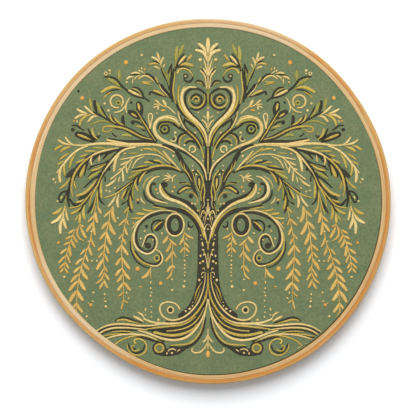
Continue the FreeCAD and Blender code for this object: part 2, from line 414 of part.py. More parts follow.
def branches():
    dark = [
        coil((1.2, 1.8, 1.2), 48.2, 82.3, 52, 84.8, 57, 85.8, 62.5, 88, 67, 91.6, 71.4, 95.4, 74.2, 99.4,
             78.8, 102,
             84.6, 102.4),
        coil((1.3, 1.5, 1.0), 52.6, 85.6, 54.4, 90, 57.6, 93, 62.2, 93.9),
        coil((0.5, 0.9, 0.5), 55.8, 88.2, 60, 90.6, 63.2, 91.9),
        coil((0.8, 1.2, 0.6), 73, 91.8, 77, 91.6, 81, 90.2, 84.2, 87.8),
        coil((3.4, 3.2, 2.2), 43.5, 49.6, 48.2, 57.4, 52, 64.2, 56.6, 72.6),
        leaf(6.0, 55.6, 69.5, 56, 76, 57.2, 82.4), leaf(5.2, 56, 68, 60.6, 71.6, 65.6, 74.4),
        coil((0.9, 1.4, 1.0), 53.6, 62.4, 57, 64.8, 60.8, 65.7), dot(1.7, 61.7, 65.0),
        coil((0.8, 1.2, 0.6), 51.4, 58.1, 54.8, 59.1),
        coil((2.6, 4.2, 2.4), 46, 50.4, 55, 53.2, 62, 57, 69, 60.2, 75.5, 60.4),
        coil((1.5, 2.2, 1.4), 66, 60.4, 73, 62.6, 78.5, 65.4, 83.5, 68.4, 89.8, 71.5, 94, 73.4),
        leaf(2.8, 68.2, 61.5, 69.8, 66, 69.9, 70.8),
        coil((1.0, 1.4, 0.9), 75.8, 64.6, 78, 67.2, 79.2, 70.6),
        coil((1.0, 1.5, 0.9), 81.8, 67.8, 85, 72, 87.6, 77.8),
        leaf(2.6, 91, 72.2, 92.6, 77.4, 93.2, 83.4),
        coil(1.1, 75.3, 53.5, 77, 54.3, 78.5, 55.8),
        coil((2.0, 2.4, 1.3), 43, 49.2, 56, 49.4, 69, 49.3, 81, 51.6),
        coil((1.0, 1.7, 1.0), 91.6, 50.2, 95.8, 54.4, 98.4, 59.8),
        coil((1.0, 1.4, 1.0), 88.6, 54.2, 89.8, 52.6, 91.2, 53.8),
        leaf(6.4, 93.4, 49.2, 101, 53.2, 109.4, 55.8),
        coil((0.9, 1.5, 1.0), 102, 58.4, 105, 60.4, 107.8, 62.4, 111.4, 62.4), dot(1.5, 111, 59.0),
        dot(1.05, 63, 81.2), dot(1.0, 73.4, 80.8),
    ]
    olive = [
        leaf(3.4, 72.4, 94.6, 76.6, 97.9, 82.8, 101.2), leaf(3.3, 72.9, 99.4, 72.8, 107.8),
        leaf(2.9, 83.6, 68.8, 88, 73.6, 91.5, 81.2), leaf(2.8, 94.6, 74.4, 96.2, 79, 97.0, 85.2),
        leaf(1.9, 78.8, 63.8, 83.6, 65.7, 89, 65.9, 96.6, 63.0),
        coil((0.5, 0.8, 0.4), 54.8, 64.6, 57.6, 66.5, 61.4, 67.3),
        leaf(2.7, 62.2, 53.2, 66.4, 54.7, 71, 54.1),
        loop(1.8, 1.6, 1.5, 73.6, 81.0), leaf(1.3, 56.0, 70.8, 57.6, 73.0, 59.7, 75.2),
        dot(0.95, 69.9, 71.9),
    ]
    gold = [
        coil((0.8, 1.3, 0.9), 55.2, 88.2, 57.8, 91, 62.4, 93.0),
        leaf(2.9, 71.8, 92.6, 77.4, 94, 83, 92.4, 88.3, 89.2),
        coil((0.8, 1.3, 0.6), 78.6, 90.3, 83.2, 87.6, 86.2, 83.8),
        coil((1.0, 1.5, 1.0), 43.2, 50, 47.8, 56.6, 50.2, 61, 53, 65.2, 55.8, 70, 57.8, 73.3),
        leaf(2.4, 56, 74.4, 57.4, 80.9), leaf(2.1, 58, 69.2, 63.1, 72.5),
        leaf(1.7, 52.1, 59.7, 55.8, 61.3, 59.8, 61.7),
        coil((1.2, 2.0, 1.1), 46, 50.9, 54, 52.8, 60, 55.8, 66, 58.9, 72, 60.8, 79, 61.6, 84.2, 61.4,
             86.4, 59.4,
             85.2, 57.3, 81.8, 57.2, 78.6, 59.2),
        leaf(1.8, 68.4, 62.4, 73, 64.4, 77.2, 68.8), leaf(1.7, 75.6, 63.8, 79.2, 67, 80.6, 71.8),
        leaf(2.1, 90.4, 50.8, 94.2, 55, 95.4, 60.4), leaf(2.6, 96.0, 50.6, 101.6, 53.0, 107.4, 55.2),
        oval(0.6, 1.0, 89.7, 55.7), leaf(2.5, 95.8, 71.3, 100.4, 69.9, 104, 66.6, 105.5, 61.9),
        coil((0.8, 1.2, 0.9), 77.5, 46.6, 86, 47.3, 96, 46.6),
    ]
    cream = [
        leaf(2.5, 54.6, 86.2, 60, 88.7, 65.6, 91.5),
        curl((1.5, 1.9, 1.4), 74.9, 82.0, 5.3, 5.2, 222, -104),
        coil((0.9, 1.5, 1.1), 64, 85.2, 66.1, 82.2, 67.4, 78.4, 67.4, 75, 66.8, 73.2),
        coil((1.1, 1.5, 1.1), 68.1, 77.9, 70.6, 75, 73.4, 73.5, 76.7, 73.1),
        leaf(2.2, 92.4, 71.0, 96.6, 73.8, 101.8, 78.6), leaf(2.3, 90.2, 69.9, 94.6, 69.4, 99.0, 65.0),
        leaf(2.4, 99, 72.0, 103.6, 73.6, 108.0, 76.0), leaf(2.4, 99.8, 71.3, 104.6, 70.7, 109.7, 67.8),
        coil((1.4, 2.6, 1.3), 38, 46.2, 48, 47.2, 60, 47, 72, 47.0, 82, 47.5, 92, 47.3, 103, 46, 112, 46.4),
        coil((0.9, 1.1, 0.8), 46, 46.3, 60, 45.4, 72, 45.6, 80, 46.6),
        leaf(2.3, 64, 47.6, 74, 48.6, 83.6, 50.7), leaf(1.9, 110, 46.4, 114, 48.6, 117.5, 53.1),
        leaf(2.1, 111.5, 46.3, 118.4, 47.6, 123.5, 50.8),
    ]
    beads = [
        loop(1.1, 1.2, 1.2, 83.9, 104.9), dot(1.15, 84.8, 80.3), dot(1.25, 81.7, 74.6),
        oval(0.8, 1.3, 107.5, 65.6),
    ]
    return {"branch_shade": ("dark", dark), "branch_olive": ("olive", olive), "branch_gold": ("gold", gold),
            "branch_cream": ("cream", cream), "branch_beads": ("bead", beads)}


def boughs():
    dark = [
        coil((2.0, 3.1, 2.0), 21, 24.2, 27, 26.4, 35, 27.6, 43, 27.2, 48, 25.4, 54, 22.8, 59, 18.9,
             64, 14.8, 70, 10.8, 75, 8.0),
        coil((0.9, 1.5, 0.9), 26, 28.2, 30, 30.2, 34, 31.8),
        coil((0.8, 1.7, 0.9), 39, 30.9, 43.5, 32.6, 48.5, 33.6),
        coil((0.9, 1.5, 0.9), 48.5, 28.8, 54, 27.2, 61.6, 26.4),
        coil((1.0, 1.5, 1.0), 56.6, 19.6, 57.7, 16.4, 57.6, 13.6),
        coil((1.0, 1.5, 1.2), 60.6, 15.2, 63.2, 9.2, 63.2, 5, 62.2, 1.4),
        coil((1.3, 2.3, 1.4), 63.2, 13.4, 65, 6, 65.2, 0, 64.6, -5, 62.6, -8.8),
        coil((0.9, 1.4, 1.0), 66.6, 1.2, 68.4, -0.6, 70.8, -2.3),
        coil((0.8, 1.4, 0.9), 65.4, 11, 67.4, 6, 69.2, 2.4),
        coil((3.0, 4.6, 2.2), 64, 44.6, 71, 41.6, 77, 35.6, 83, 28.4, 88.4, 20.5, 92.6, 13.4, 98, 6.6,
             105.5, 2.2),
        coil((1.5, 3.1, 1.8), 66, 44.2, 74, 42.7, 83, 41.2, 91, 38.2, 97, 35.2),
        coil((2.4, 5.4, 3.6), 94, 39, 100, 34.2, 105, 29, 109.6, 22.6, 112.6, 15),
        leaf(3.8, 106.5, 28.5, 111.5, 24.4, 116.6, 19.8),
        coil((2.0, 2.4, 1.3), 112.3, 17, 114.2, 9.5, 114.9, 3, 114.0, -3.8),
        coil((1.2, 1.7, 1.0), 98.6, 31.5, 100.6, 26.4, 101.5, 21.6),
        coil((0.9, 1.5, 0.9), 103, 28.8, 106, 24, 106.4, 20),
        coil((1.2, 2.4, 1.3), 101.6, 1.2, 104.6, -1.6, 108.2, -3, 111, -1.6, 113.2, 1.8),
        coil(1.5, 115.2, 8.6, 118.8, 8, 121.8, 5.0, 122.6, 1.4, 120.4, -0.6, 118.2, 2.6, 116.2, 7.0),
        coil((1.3, 1.8, 1.2), 88.6, 17.4, 90, 10, 89.6, 4, 88, 0.2, 85.4, -2.2),
        coil((1.5, 2.4, 1.3), 91.4, 5, 93.4, -0.5, 96, -5.2, 98.6, -9.2),
        coil((1.0, 1.9, 1.2), 96.6, 4.2, 100.8, -0.6, 103.2, -5, 106, -8.6),
        coil((1.2, 2.0, 1.3), 84.4, 39.4, 88, 38.6, 92, 36.6, 95, 32.4),
        coil((0.9, 1.4, 0.8), 80.6, 34.4, 85.2, 31.6, 91, 29.9, 97, 28.6),
        coil((0.9, 1.5, 0.8), 87.0, 25.8, 91.2, 24.6, 95.2, 23.4, 98.4, 20.2),
        coil((0.9, 1.5, 0.8), 91, 20.6, 96.2, 16.6, 102, 11.2),
        coil((1.0, 1.8, 1.0), 78.8, 40.4, 82.6, 39.0, 86.0, 35.0),
        coil((0.8, 1.3, 0.8), 92.4, 29.6, 96, 27.6, 98.6, 26.2),
        dot(1.1, 57.4, -1.1), dot(1.2, 81.2, 26.4),
        coil((0.8, 1.2, 0.6), 84.6, 20.5, 84.4, 17.0, 85.2, 16.5),
        coil((0.8, 1.2, 0.6), 18.2, 15.9, 21.6, 15.4, 25, 15.8), leaf(4.2, 12.0, 11, 18, 11.6, 25.4, 6.6),
        coil((1.3, 1.9, 1.2), 7.4, 22.6, 9.6, 25.2, 12.4, 23.6, 12.3, 21.2), dot(0.9, 11.4, 21.8),
        leaf(4.0, 6.8, 8.6, 7.4, 21.4),
        coil((1.3, 1.8, 1.2), 30, 4.6, 33.4, 7.0, 36.6, 10.6, 38.0, 13.8, 36.4, 15.8, 34.2, 14.9,
             33.9, 12.6),
        oval(1.4, 1.9, 35.9, 13.0),
        coil((1.3, 1.9, 1.4), 36.6, 0.4, 42.2, 2.2, 46, 5.8, 47.2, 10, 46.6, 13.6, 44.4, 15.2),
        dot(1.3, 44.2, 14.6),
        coil((1.3, 1.8, 1.0), 44.6, -1.6, 49.6, 1.2, 52.2, 5.2, 52.6, 9.2),
    ]
    olive = [
        coil((0.5, 0.9, 0.5), 13.6, 13.2, 18.6, 15.0, 24.4, 13.6), dot(0.95, 24.5, 16.2),
        coil((0.7, 1.2, 0.7), 33.2, 4.6, 36, 7.4, 37.8, 10.8),
        coil((0.8, 1.2, 0.7), 62.2, 13.6, 65.4, 7, 66.2, 2.2, 68.6, -0.2),
        leaf(2.8, 54.6, 24.8, 60, 21.9, 65.8, 18.5), coil((0.6, 1.0, 0.6), 77, 39.2, 81.2, 37, 84.2, 34.2),
        coil((0.5, 0.9, 0.5), 85, 30.9, 90.8, 28.9, 96.4, 27.2),
        leaf(3.0, 87.6, 25.6, 92, 22.9, 98.6, 18.6),
        leaf(2.0, 82.6, 43.1, 88, 44.1, 95, 43.9), coil((0.8, 1.3, 0.8), 116.4, 5.4, 116.8, 1, 118, -5),
        leaf(1.6, 60.6, 15, 61.8, 8.6, 61.2, 1.6),
    ]
    gold = [
        coil((1.0, 1.9, 1.1), 22.8, 25.2, 27.6, 27.9, 33, 29.3, 39.6, 29.4, 45.6, 28.3, 50, 26.6, 56, 25.4,
             63.2, 23.8),
        coil((0.9, 1.5, 1.4), 22.6, 25.0, 27.6, 30.4, 32.8, 35.0, 38.2, 39.2, 44.8, 43.7),
        leaf(2.0, 36, 30.8, 40.4, 33.2, 45.0, 33.9), leaf(1.7, 44.6, 30.8, 49, 32.2, 53, 31.7),
        leaf(1.5, 49.6, 29.1, 54, 29.0, 58.8, 27.9), leaf(2.1, 50.4, 25.2, 54.2, 20.6, 56.6, 15.2),
        coil((0.8, 1.6, 1.0), 31.6, 3.6, 34.8, 6.0, 37.2, 9.2, 38.2, 12.4),
        coil((0.8, 1.5, 1.1), 61.6, 17.2, 66.8, 12.9, 72.8, 8.3, 78, 5.2, 84.8, 3.2),
        leaf(2.0, 57.9, 20, 59.9, 14.6, 57.2, 8.0), leaf(2.0, 66.8, 10.6, 69.2, 6.0, 71.0, 1.4),
        leaf(2.2, 63.8, 4.6, 63.4, -1, 62.0, -6.8), leaf(1.7, 65.4, -4.4, 67.2, -7.2, 69.0, -9.9),
        coil((0.8, 1.1, 0.6), 57.6, 39.6, 61.4, 39.7, 65.6, 39.2),
        leaf(1.9, 42.4, 41.0, 48, 43, 53.4, 43.2),
        coil((1.0, 1.6, 1.0), 86.2, 23.4, 88.5, 18.6, 90.4, 14, 93.2, 8.6, 96.4, 2.6, 97.2, -4.0),
        leaf(1.9, 83.8, 30.9, 89.6, 27.2, 96.6, 25.0), leaf(1.6, 90.6, 41.2, 96, 41.4, 101.6, 41.3),
        leaf(2.1, 86.9, 18, 88, 11, 87.3, 2.6), leaf(2.7, 90.8, 18.8, 94, 14.2, 97.6, 10.2, 102, 6.7, 108.6, 4.3),
        coil((0.7, 1.5, 1.2), 90.4, 9.5, 90.8, 3, 90.6, -2, 89.8, -5.5),
        coil((0.7, 1.3, 1.0), 91.0, 8, 92.4, 1.5, 93.8, -4.5, 95.8, -10),
        coil((0.8, 1.5, 1.3), 92.4, 12, 97.4, 5.2, 101.8, -0.4, 106.6, -3.9, 113.4, -5.4),
        leaf(1.9, 101.6, 1.6, 104.8, 0.1, 108.8, -0.9), leaf(1.7, 98.6, 38.8, 105.2, 36.6),
        coil((1.6, 2.2, 1.0), 96, 37.2, 101.6, 32.9, 106, 28.2, 109.6, 22.4, 111.6, 15.8, 112.2, 9.6,
             110.8, 4.2),
        leaf(2.9, 101.2, 29.8, 102.8, 25.2, 105.2, 19.8), leaf(1.5, 110, 17.6, 109.6, 14, 108.2, 10.2),
        leaf(1.9, 112.6, 19.4, 116.8, 14.2, 121.9, 10.2), leaf(2.2, 108.4, 39.4, 112.2, 33.4, 113.6, 27.4),
        leaf(1.8, 113.4, 39.8, 118, 37.2, 121.8, 34.1), leaf(1.7, 117.4, 34, 123.8, 29.8),
        leaf(2.1, 115.4, 34.4, 118.2, 28.4, 117.2, 20.9), leaf(2.4, 112.6, 45.0, 117.4, 43.6, 121.3, 40.8),
        leaf(2.3, 118.6, 46.2, 122.8, 44.4, 126.4, 41.9), leaf(2.0, 99.9, 35.3, 104, 33.6, 108.6, 31.2),
        leaf(1.8, 116.2, -4, 119, -9, 123, -13),
    ]
    cream = [
        coil((0.8, 1.5, 1.2), 22.6, 24.8, 27.4, 30.6, 31.6, 35.2, 36.9, 41.4),
        coil((0.7, 1.4, 1.3), 31, 30.4, 35.6, 34.3, 40.4, 37.5, 46.6, 38.7, 53.6, 38.4, 60, 36.6, 66, 35.4,
             71.4, 34.5),
        coil((1.0, 1.5, 1.0), 27.2, 40.3, 32.6, 43.4, 38.6, 45.4, 46, 46.2),
        coil((0.9, 1.6, 1.4), 56.8, 37.6, 61.8, 35.6, 65.4, 32.0, 69, 28.0, 72.6, 24.0, 79.9, 18.2),
        coil((0.8, 1.4, 0.9), 52.4, 36.9, 57.4, 34.6, 60.2, 31.4, 62.2, 27.2),
        coil((0.7, 1.2, 0.9), 62.2, 33.4, 64, 29.8, 65.5, 26.1),
        leaf(1.7, 65, 33.4, 68.6, 31.3, 72.3, 29.7), leaf(2.0, 67.4, 29.2, 66.2, 22.8),
        leaf(2.1, 70.1, 26.6, 69.5, 16.0),
        leaf(1.3, 72.2, 20.9, 73.8, 15.6), leaf(1.4, 70.8, 27.4, 73.7, 25.6),
        leaf(2.0, 74.8, 19.4, 79.2, 14.9, 84.3, 12.2),
        coil((1.8, 2.2, 1.1), 60, 44.4, 66.4, 43.3, 71.8, 40.5, 76.6, 35.8, 81.4, 30, 86.4, 23.2),
        leaf(2.5, 72.6, 38.4, 76.0, 33.0, 77.4, 24.0),
        coil((0.9, 1.9, 1.5), 73.6, 43.8, 80, 42.8, 87, 41.2, 93, 38.9, 97.6, 36.0),
        leaf(1.6, 89.0, 38.2, 89.7, 32.3), coil((1.0, 1.9, 1.1), 95.2, 36.9, 96.3, 33.6, 95.4, 30.0),
        coil((1.4, 2.1, 1.1), 99, 45.4, 105, 43.2, 110, 39.9, 114, 36.0, 119, 29.9, 124.2, 23.4),
        leaf(2.8, 120.2, 28, 121.9, 22, 121.2, 15.2),
        leaf(2.4, 73, 6.2, 74.4, 0.6, 73.8, -5.4), leaf(2.0, 75.5, 5.4, 78.2, 0.2, 82.3, -4.6),
        coil((1.8, 2.9, 1.8), 13.2, -7.6, 18.6, -3.4, 25, -0.2, 31.6, 1.9, 36.6, 5.0, 39.1, 9.2,
             39.3, 13.6),
        coil((1.0, 2.8, 1.1), 33, -1.6, 39.6, -0.1, 45.6, 2.2, 49.0, 6.2, 49.6, 11.0, 47.8, 15.6,
             44.2, 19.3, 40, 20.6),
        coil((0.6, 1.0, 0.6), 45.2, 21.2, 49.8, 18.2, 52.3, 14.8, 53.0, 11.0),
        coil((0.9, 1.5, 1.2), 26.2, 21.6, 28.8, 19.8, 29.3, 15.9),
        coil((0.9, 1.2, 0.8), 29.4, 18.8, 31.4, 21, 33.6, 23.2),
        leaf(1.7, 30.2, 19.4, 35.8, 21.6), leaf(1.4, 30.4, 19.2, 34, 18.7, 37.2, 18.1),
        leaf(1.2, 31, 18.4, 35, 16.1),
        leaf(1.5, 55.4, 3.9, 54.4, 0.8, 51.6, -1.9),
    ]
    beads = [
        oval(1.3, 1.0, 28.4, 37.2, 40), dot(1.0, 29.2, 8.2), dot(0.95, 41.3, 6.7), dot(0.95, 54.6, 42.1),
        oval(1.1, 0.8, 68.2, 39.2, -20), dot(0.95, 76.4, 10.9), dot(1.0, 80.7, 8.1), dot(1.0, 83.6, 8.9),
        dot(1.15, 126.8, 18.2), dot(0.85, 125.2, 15.5), dot(1.0, 123.4, 0.3),
        oval(0.8, 1.4, 120.2, 3.2, 25),
    ]
    return {"bough_shade": ("dark", dark), "bough_olive": ("olive", olive), "bough_gold": ("gold", gold),
            "bough_cream": ("cream", cream), "bough_beads": ("bead", beads)}


def rings():
    dark = [
        loop(3.2, 4.9, 7.0, 27.2, -19.2),
        coil((1.6, 2.8, 1.5), 30.5, -9.4, 37, -9.2, 44, -10.8, 50, -13.4, 55.4, -17.6, 58.8, -24,
             59.0, -32, 55.8, -38.8, 50.4, -41.4, 46, -40, 43.6, -36.4, 43.4, -32.4, 45.4, -29.2,
             48.6, -28.6, 51, -31, 52, -34.8),
        dot(2.6, 49.2, -36.2), dot(1.4, 50.3, -20.4), dot(0.8, 47.2, -29.0), dot(1.0, 42.0, -46.6),
        coil((1.1, 1.9, 1.2), 39.5, -42.6, 38.8, -46.5, 40.2, -50.2, 44, -51.4, 50, -50.4, 55.4, -46.6,
             59.8, -40.8),
        coil((0.8, 1.3, 0.8), 48, -54.6, 54, -52.6, 59.6, -47.6, 63.2, -40.2, 64, -33),
        coil((1.2, 1.6, 1.1), 12.4, -20.0, 14.4, -21.0, 16.2, -19.2, 15.6, -16.6),
        coil((1.0, 1.6, 1.0), 36.6, -15.6, 41.6, -15.4, 45.2, -17.4, 46.4, -21.0, 45.6, -25.0),
        leaf(5.8, 36.4, -15.4, 40.2, -20.0, 43.6, -24.0),
    ]
    gold = [
        coil((0.7, 1.2, 1.2), 59.4, -21.6, 62, -27.2, 62.6, -33),
        coil((0.9, 1.9, 1.6), 62.6, -32, 61.6, -40, 57.6, -46.6, 52.4, -50.6, 47, -52.4),
        loop(1.2, 2.1, 2.3, 42.0, -46.5), leaf(2.0, 36.8, -16.2, 40.8, -18.6, 44.8, -23.4),
        leaf(1.9, 44, -7.4, 49.4, -7.6, 54.2, -6.0), leaf(2.5, 50.8, -10.4, 59.0, -9.8),
        leaf(2.0, 53.6, -12.8, 58, -13.9, 63.0, -13.9), leaf(1.4, 33.5, -6.2, 39, -5.4, 46, -4.6),
    ]
    cream = [
        loop(1.6, 7.4, 9.2, 27.2, -19.2),
        coil((1.0, 2.0, 1.2), 25.6, -8.8, 30.8, -7.6, 37, -7.2, 43, -8.2, 49, -10.6, 54.4, -14.8,
             58.4, -20, 60.7, -26.4, 60.7, -33.4, 57.4, -39.4, 51, -42.9, 46.2, -41.9, 42.9, -38,
             41.9, -33, 43.6, -28.6, 47.2, -26.8, 50.8, -28.6, 52.6, -33, 54, -37),
        coil((0.7, 1.2, 0.9), 54.0, -13.6, 58.8, -17.8, 62.3, -22.3),
        coil((1.2, 1.7, 1.4), 43.2, -39.3, 39.6, -41.4, 37.4, -45.8, 38.2, -50, 41.8, -52.9, 47.2, -52.6),
    ]
    beads = [
        oval(0.75, 1.05, 15.9, -22.7), dot(1.0, 37.7, -26.1), dot(0.9, 52.0, -24.3), dot(0.95, 55.2, -30.5),
        dot(0.85, 45.3, -31.5), dot(0.6, 26.0, -17.3), oval(0.7, 1.15, 73.9, -13.6),
    ]
    return {"ring_shade": ("dark", dark), "ring_gold": ("gold", gold), "ring_cream": ("cream", cream),
            "ring_beads": ("bead", beads)}


def garland_inner():
    sprig = [
        coil((0.9, 1.1, 0.7), 19.4, -24.8, 20, -30, 19.2, -36, 19.4, -43.6),
        leaf(2.1, 19.6, -25.4, 16.6, -28.4, 11.8, -30.4), leaf(2.3, 19.6, -27, 21, -31.6, 23.5, -35.9),
        leaf(1.5, 18.7, -29.4, 16.6, -32.4), leaf(2.0, 19.6, -33.4, 15.2, -38.1),
        leaf(2.0, 19.2, -37.4, 15.2, -42.1),
        leaf(2.1, 19.6, -37.8, 22.8, -42.3),
    ]
    beads = [oval(0.85, 0.75, 17.3, -44.3), oval(0.65, 0.9, 19.4, -44.9)]
    beads += chain(0.95, 19.1, -48.6, 19.1, -52.2, 19.1, -54.9, 19.2, -65.6)
    beads += chain(0.8, 18.9, -58.1, 19.2, -60.9)
    beads += [dot(1.35, 19.8, -69.8)]
    return {"garland_inner": ("straw", sprig), "garland_beads": ("bead", beads)}


def garland_ring():
    sprig = [
        coil((0.9, 1.1, 0.8), 29.3, -33.2, 28.9, -38, 29.5, -46, 29.2, -54, 30.2, -59.6, 33.6, -63.6),
        leaf(2.0, 32.6, -30.0, 29.6, -33.2, 25.4, -36.6), leaf(3.0, 32.8, -28.4, 34.6, -31.4, 37.4, -34.6),
        leaf(2.5, 30.4, -33.4, 31.6, -37.6, 34.4, -41.7), leaf(1.8, 29, -39.8, 27.8, -43, 25.8, -46.4),
        leaf(2.5, 29.4, -41, 31.6, -45.2, 35.2, -49.6), leaf(1.7, 29.4, -51.8, 27.0, -55.4),
        leaf(2.5, 29.4, -52.2, 33.8, -58.2), leaf(1.8, 29.4, -56, 30.6, -60.4, 34.2, -64.1),
    ]
    return {"garland_ring": ("straw", sprig),
            "garland_beads": ("bead", [dot(0.95, 29.5, -64.0), dot(1.2, 29.4, -72.9)])}


def garland_beaded():
    sprig = [
        coil((0.8, 1.2, 0.9), 46.9, -54, 47.2, -58.6, 46.8, -63.2),
        leaf(2.9, 47.6, -55.4, 50.0, -60.2, 54.4, -63.2),
    ]
    beads = [oval(0.7, 1.4, 47.0, -66.5)]
    beads += chain(1.0, 47, -71.3, 47.1, -77.4)
    beads += chain(0.85, 46.4, -74.7, 46.4, -81.5, 46.5, -86.3, 46.6, -91, 46.4, -94.8)
    return {"garland_beaded": ("straw", sprig), "garland_beads": ("bead", beads)}


def garland_middle():
    sprig = [
        coil((0.9, 1.1, 0.7), 65.2, -4.6, 66.2, -11, 68.2, -19, 69.6, -27, 70.8, -35, 70.9, -45, 70, -56,
             69.3, -66,
             69.6, -74, 69.1, -81),
        leaf(2.0, 66.8, -13.6, 69.8, -16.8, 73.3, -20.1), leaf(1.7, 66.5, -14.6, 66.2, -17.4, 65.0, -19.8),
        leaf(2.4, 68.8, -20.8, 66.0, -28.2), leaf(1.8, 69.6, -26.4, 71.6, -28.8, 73.6, -31.4),
        leaf(2.1, 70, -29.8, 67.2, -35.7), leaf(2.9, 70.6, -35.8, 68.8, -39.4, 65.4, -44.4),
        leaf(2.4, 71.2, -35.8, 73.0, -39.0, 75.7, -42.3), leaf(2.9, 70.8, -45.4, 68.2, -50, 64.0, -55.7),
        leaf(2.9, 71, -45.8, 73.4, -49.2, 75.8, -52.9), leaf(3.0, 70, -55.4, 67.6, -60, 63.8, -64.5),
        leaf(3.0, 70.4, -54.8, 73.2, -57.6, 76.0, -61.5), leaf(2.8, 70, -59.6, 72.4, -63.6, 75.0, -66.5),
        leaf(3.0, 69.4, -65.8, 66.6, -69.4, 63.3, -73.6), leaf(2.8, 69.6, -66.8, 72, -70.4, 74.4, -73.4),
        leaf(1.6, 69.6, -74, 71.4, -76.4, 74.0, -78.0), leaf(1.6, 69, -81, 65.6, -83.7),
        leaf(1.7, 69.0, -79.6, 71.3, -88.8),
    ]
    beads = [oval(0.8, 1.15, 66.8, -75.0), dot(0.95, 65.2, -79.4)]
    return {"garland_middle": ("straw", sprig), "garland_beads": ("bead", beads)}


def garland_long():
    sprig = [
        coil((1.1, 1.2, 0.7), 78.6, -4.6, 80.8, -10.4, 81, -15.6, 82.4, -21, 83.6, -27, 84.6, -35,
             85.4, -43, 85.8, -48,
             85.2, -55, 85.4, -62),
        leaf(2.1, 79.6, -7.0, 82.6, -10.2, 85.4, -13.2), leaf(3.2, 77.9, -4, 78.2, -11, 75.8, -17.4),
        leaf(2.9, 81.4, -16.2, 84.4, -19.2, 87.4, -23.0), leaf(3.4, 81, -17, 79.4, -22.6, 76.0, -27.6),
        leaf(2.6, 83.4, -24.6, 86, -27.6, 89.0, -31.6), leaf(3.2, 83, -25.4, 81.8, -30.6, 79.2, -36.0),
        leaf(2.4, 84.6, -34.6, 87.4, -37.6, 90.6, -40.6), leaf(2.5, 84.4, -35.4, 82.8, -39.2, 81.2, -43.3),
        leaf(2.1, 85.6, -41, 87.8, -43.8, 90.3, -46.7), leaf(2.1, 85.2, -42.4, 83.4, -46.6, 81.9, -50.3),
        leaf(3.3, 85.6, -46.6, 88.6, -51.4, 91.6, -56.5), leaf(1.8, 85.3, -52.4, 82.5, -58.5),
        leaf(2.0, 85.4, -54.6, 87.6, -58.8, 90.0, -62.4), leaf(2.3, 85, -58.4, 81.0, -65.1),
        leaf(2.0, 85.4, -58.8, 87.8, -64.2, 91.9, -67.5), leaf(2.3, 85.6, -63.6, 84, -68, 82.2, -71.3),
        leaf(2.3, 85.6, -65.6, 87.4, -69, 89.3, -71.9),
    ]
    beads = [
        oval(0.85, 1.2, 84.7, -76.2), dot(0.65, 84.8, -79.4), dot(1.05, 84.3, -82.0),
        dot(1.15, 83.8, -86.2), dot(1.0, 91.3, -48.8), dot(0.95, 95.2, -48.9),
    ]
    return {"garland_long": ("straw", sprig), "garland_beads": ("bead", beads)}


def garland_side():
    sprig = [
        coil((0.9, 1.1, 0.8), 92, -4, 93.4, -11, 94, -18, 95.6, -27, 97.4, -35, 99.8, -41, 102.0, -48,
             104.4, -56,
             106, -64, 107.2, -73, 107.8, -82, 108.2, -88),
        leaf(2.4, 90.6, -4, 87.5, -10.6), leaf(2.9, 92, -8.6, 92, -13, 90.6, -18.1),
        leaf(2.6, 93.8, -16.4, 93.8, -22, 92.6, -28.1), leaf(2.0, 93, -10.6, 95.6, -13.8, 98.7, -17.1),
        leaf(2.8, 94, -16.8, 97, -20.8, 99.9, -25.0), leaf(2.3, 96, -29, 95.2, -33, 92.8, -37.7),
        leaf(2.3, 97.6, -36.4, 97, -40.4, 95.1, -44.8), leaf(2.1, 99.4, -38.6, 102, -40.8, 104.8, -43.9),
        leaf(2.1, 100.4, -43.2, 99.6, -46.4, 98.1, -50.1),
        leaf(2.6, 102.4, -46.4, 105.6, -48.8, 108.7, -52.0),
        leaf(3.0, 102.4, -50.2, 100.4, -53.2, 97.4, -56.4),
        leaf(2.6, 104, -53.2, 107.2, -55.6, 110.4, -58.9),
        leaf(3.2, 104.2, -54, 102.2, -59.4, 98.4, -64.4), leaf(2.9, 105.2, -59.4, 109, -62.2, 112.7, -66.6),
        leaf(3.4, 105.8, -63.4, 103.6, -68.4, 100.6, -73.3),
        leaf(3.2, 106.2, -64.8, 110.4, -68.8, 114.2, -73.7),
        leaf(3.4, 107.2, -72.8, 105.2, -77.4, 102.3, -81.8),
        leaf(3.3, 107.6, -73.0, 111, -77.8, 113.9, -83.0),
        leaf(2.9, 107.9, -83, 105.8, -87.4, 102.6, -91.3), leaf(2.3, 108, -83, 109.6, -85.8, 111.4, -88.5),
        coil((0.9, 1.5, 1.3), 108.2, -87, 108.2, -90, 106.9, -92.8, 105.2, -95.4),
    ]
    beads = [
        dot(1.0, 95.7, -24.7), dot(0.85, 98.1, -32.8), dot(1.0, 94.0, -74.8),
        oval(1.2, 0.7, 94.4, -81.9, 20), dot(0.65, 98.1, -83.5), dot(1.1, 99.5, -94.3),
    ]
    return {"garland_side": ("straw", sprig), "garland_beads": ("bead", beads)}


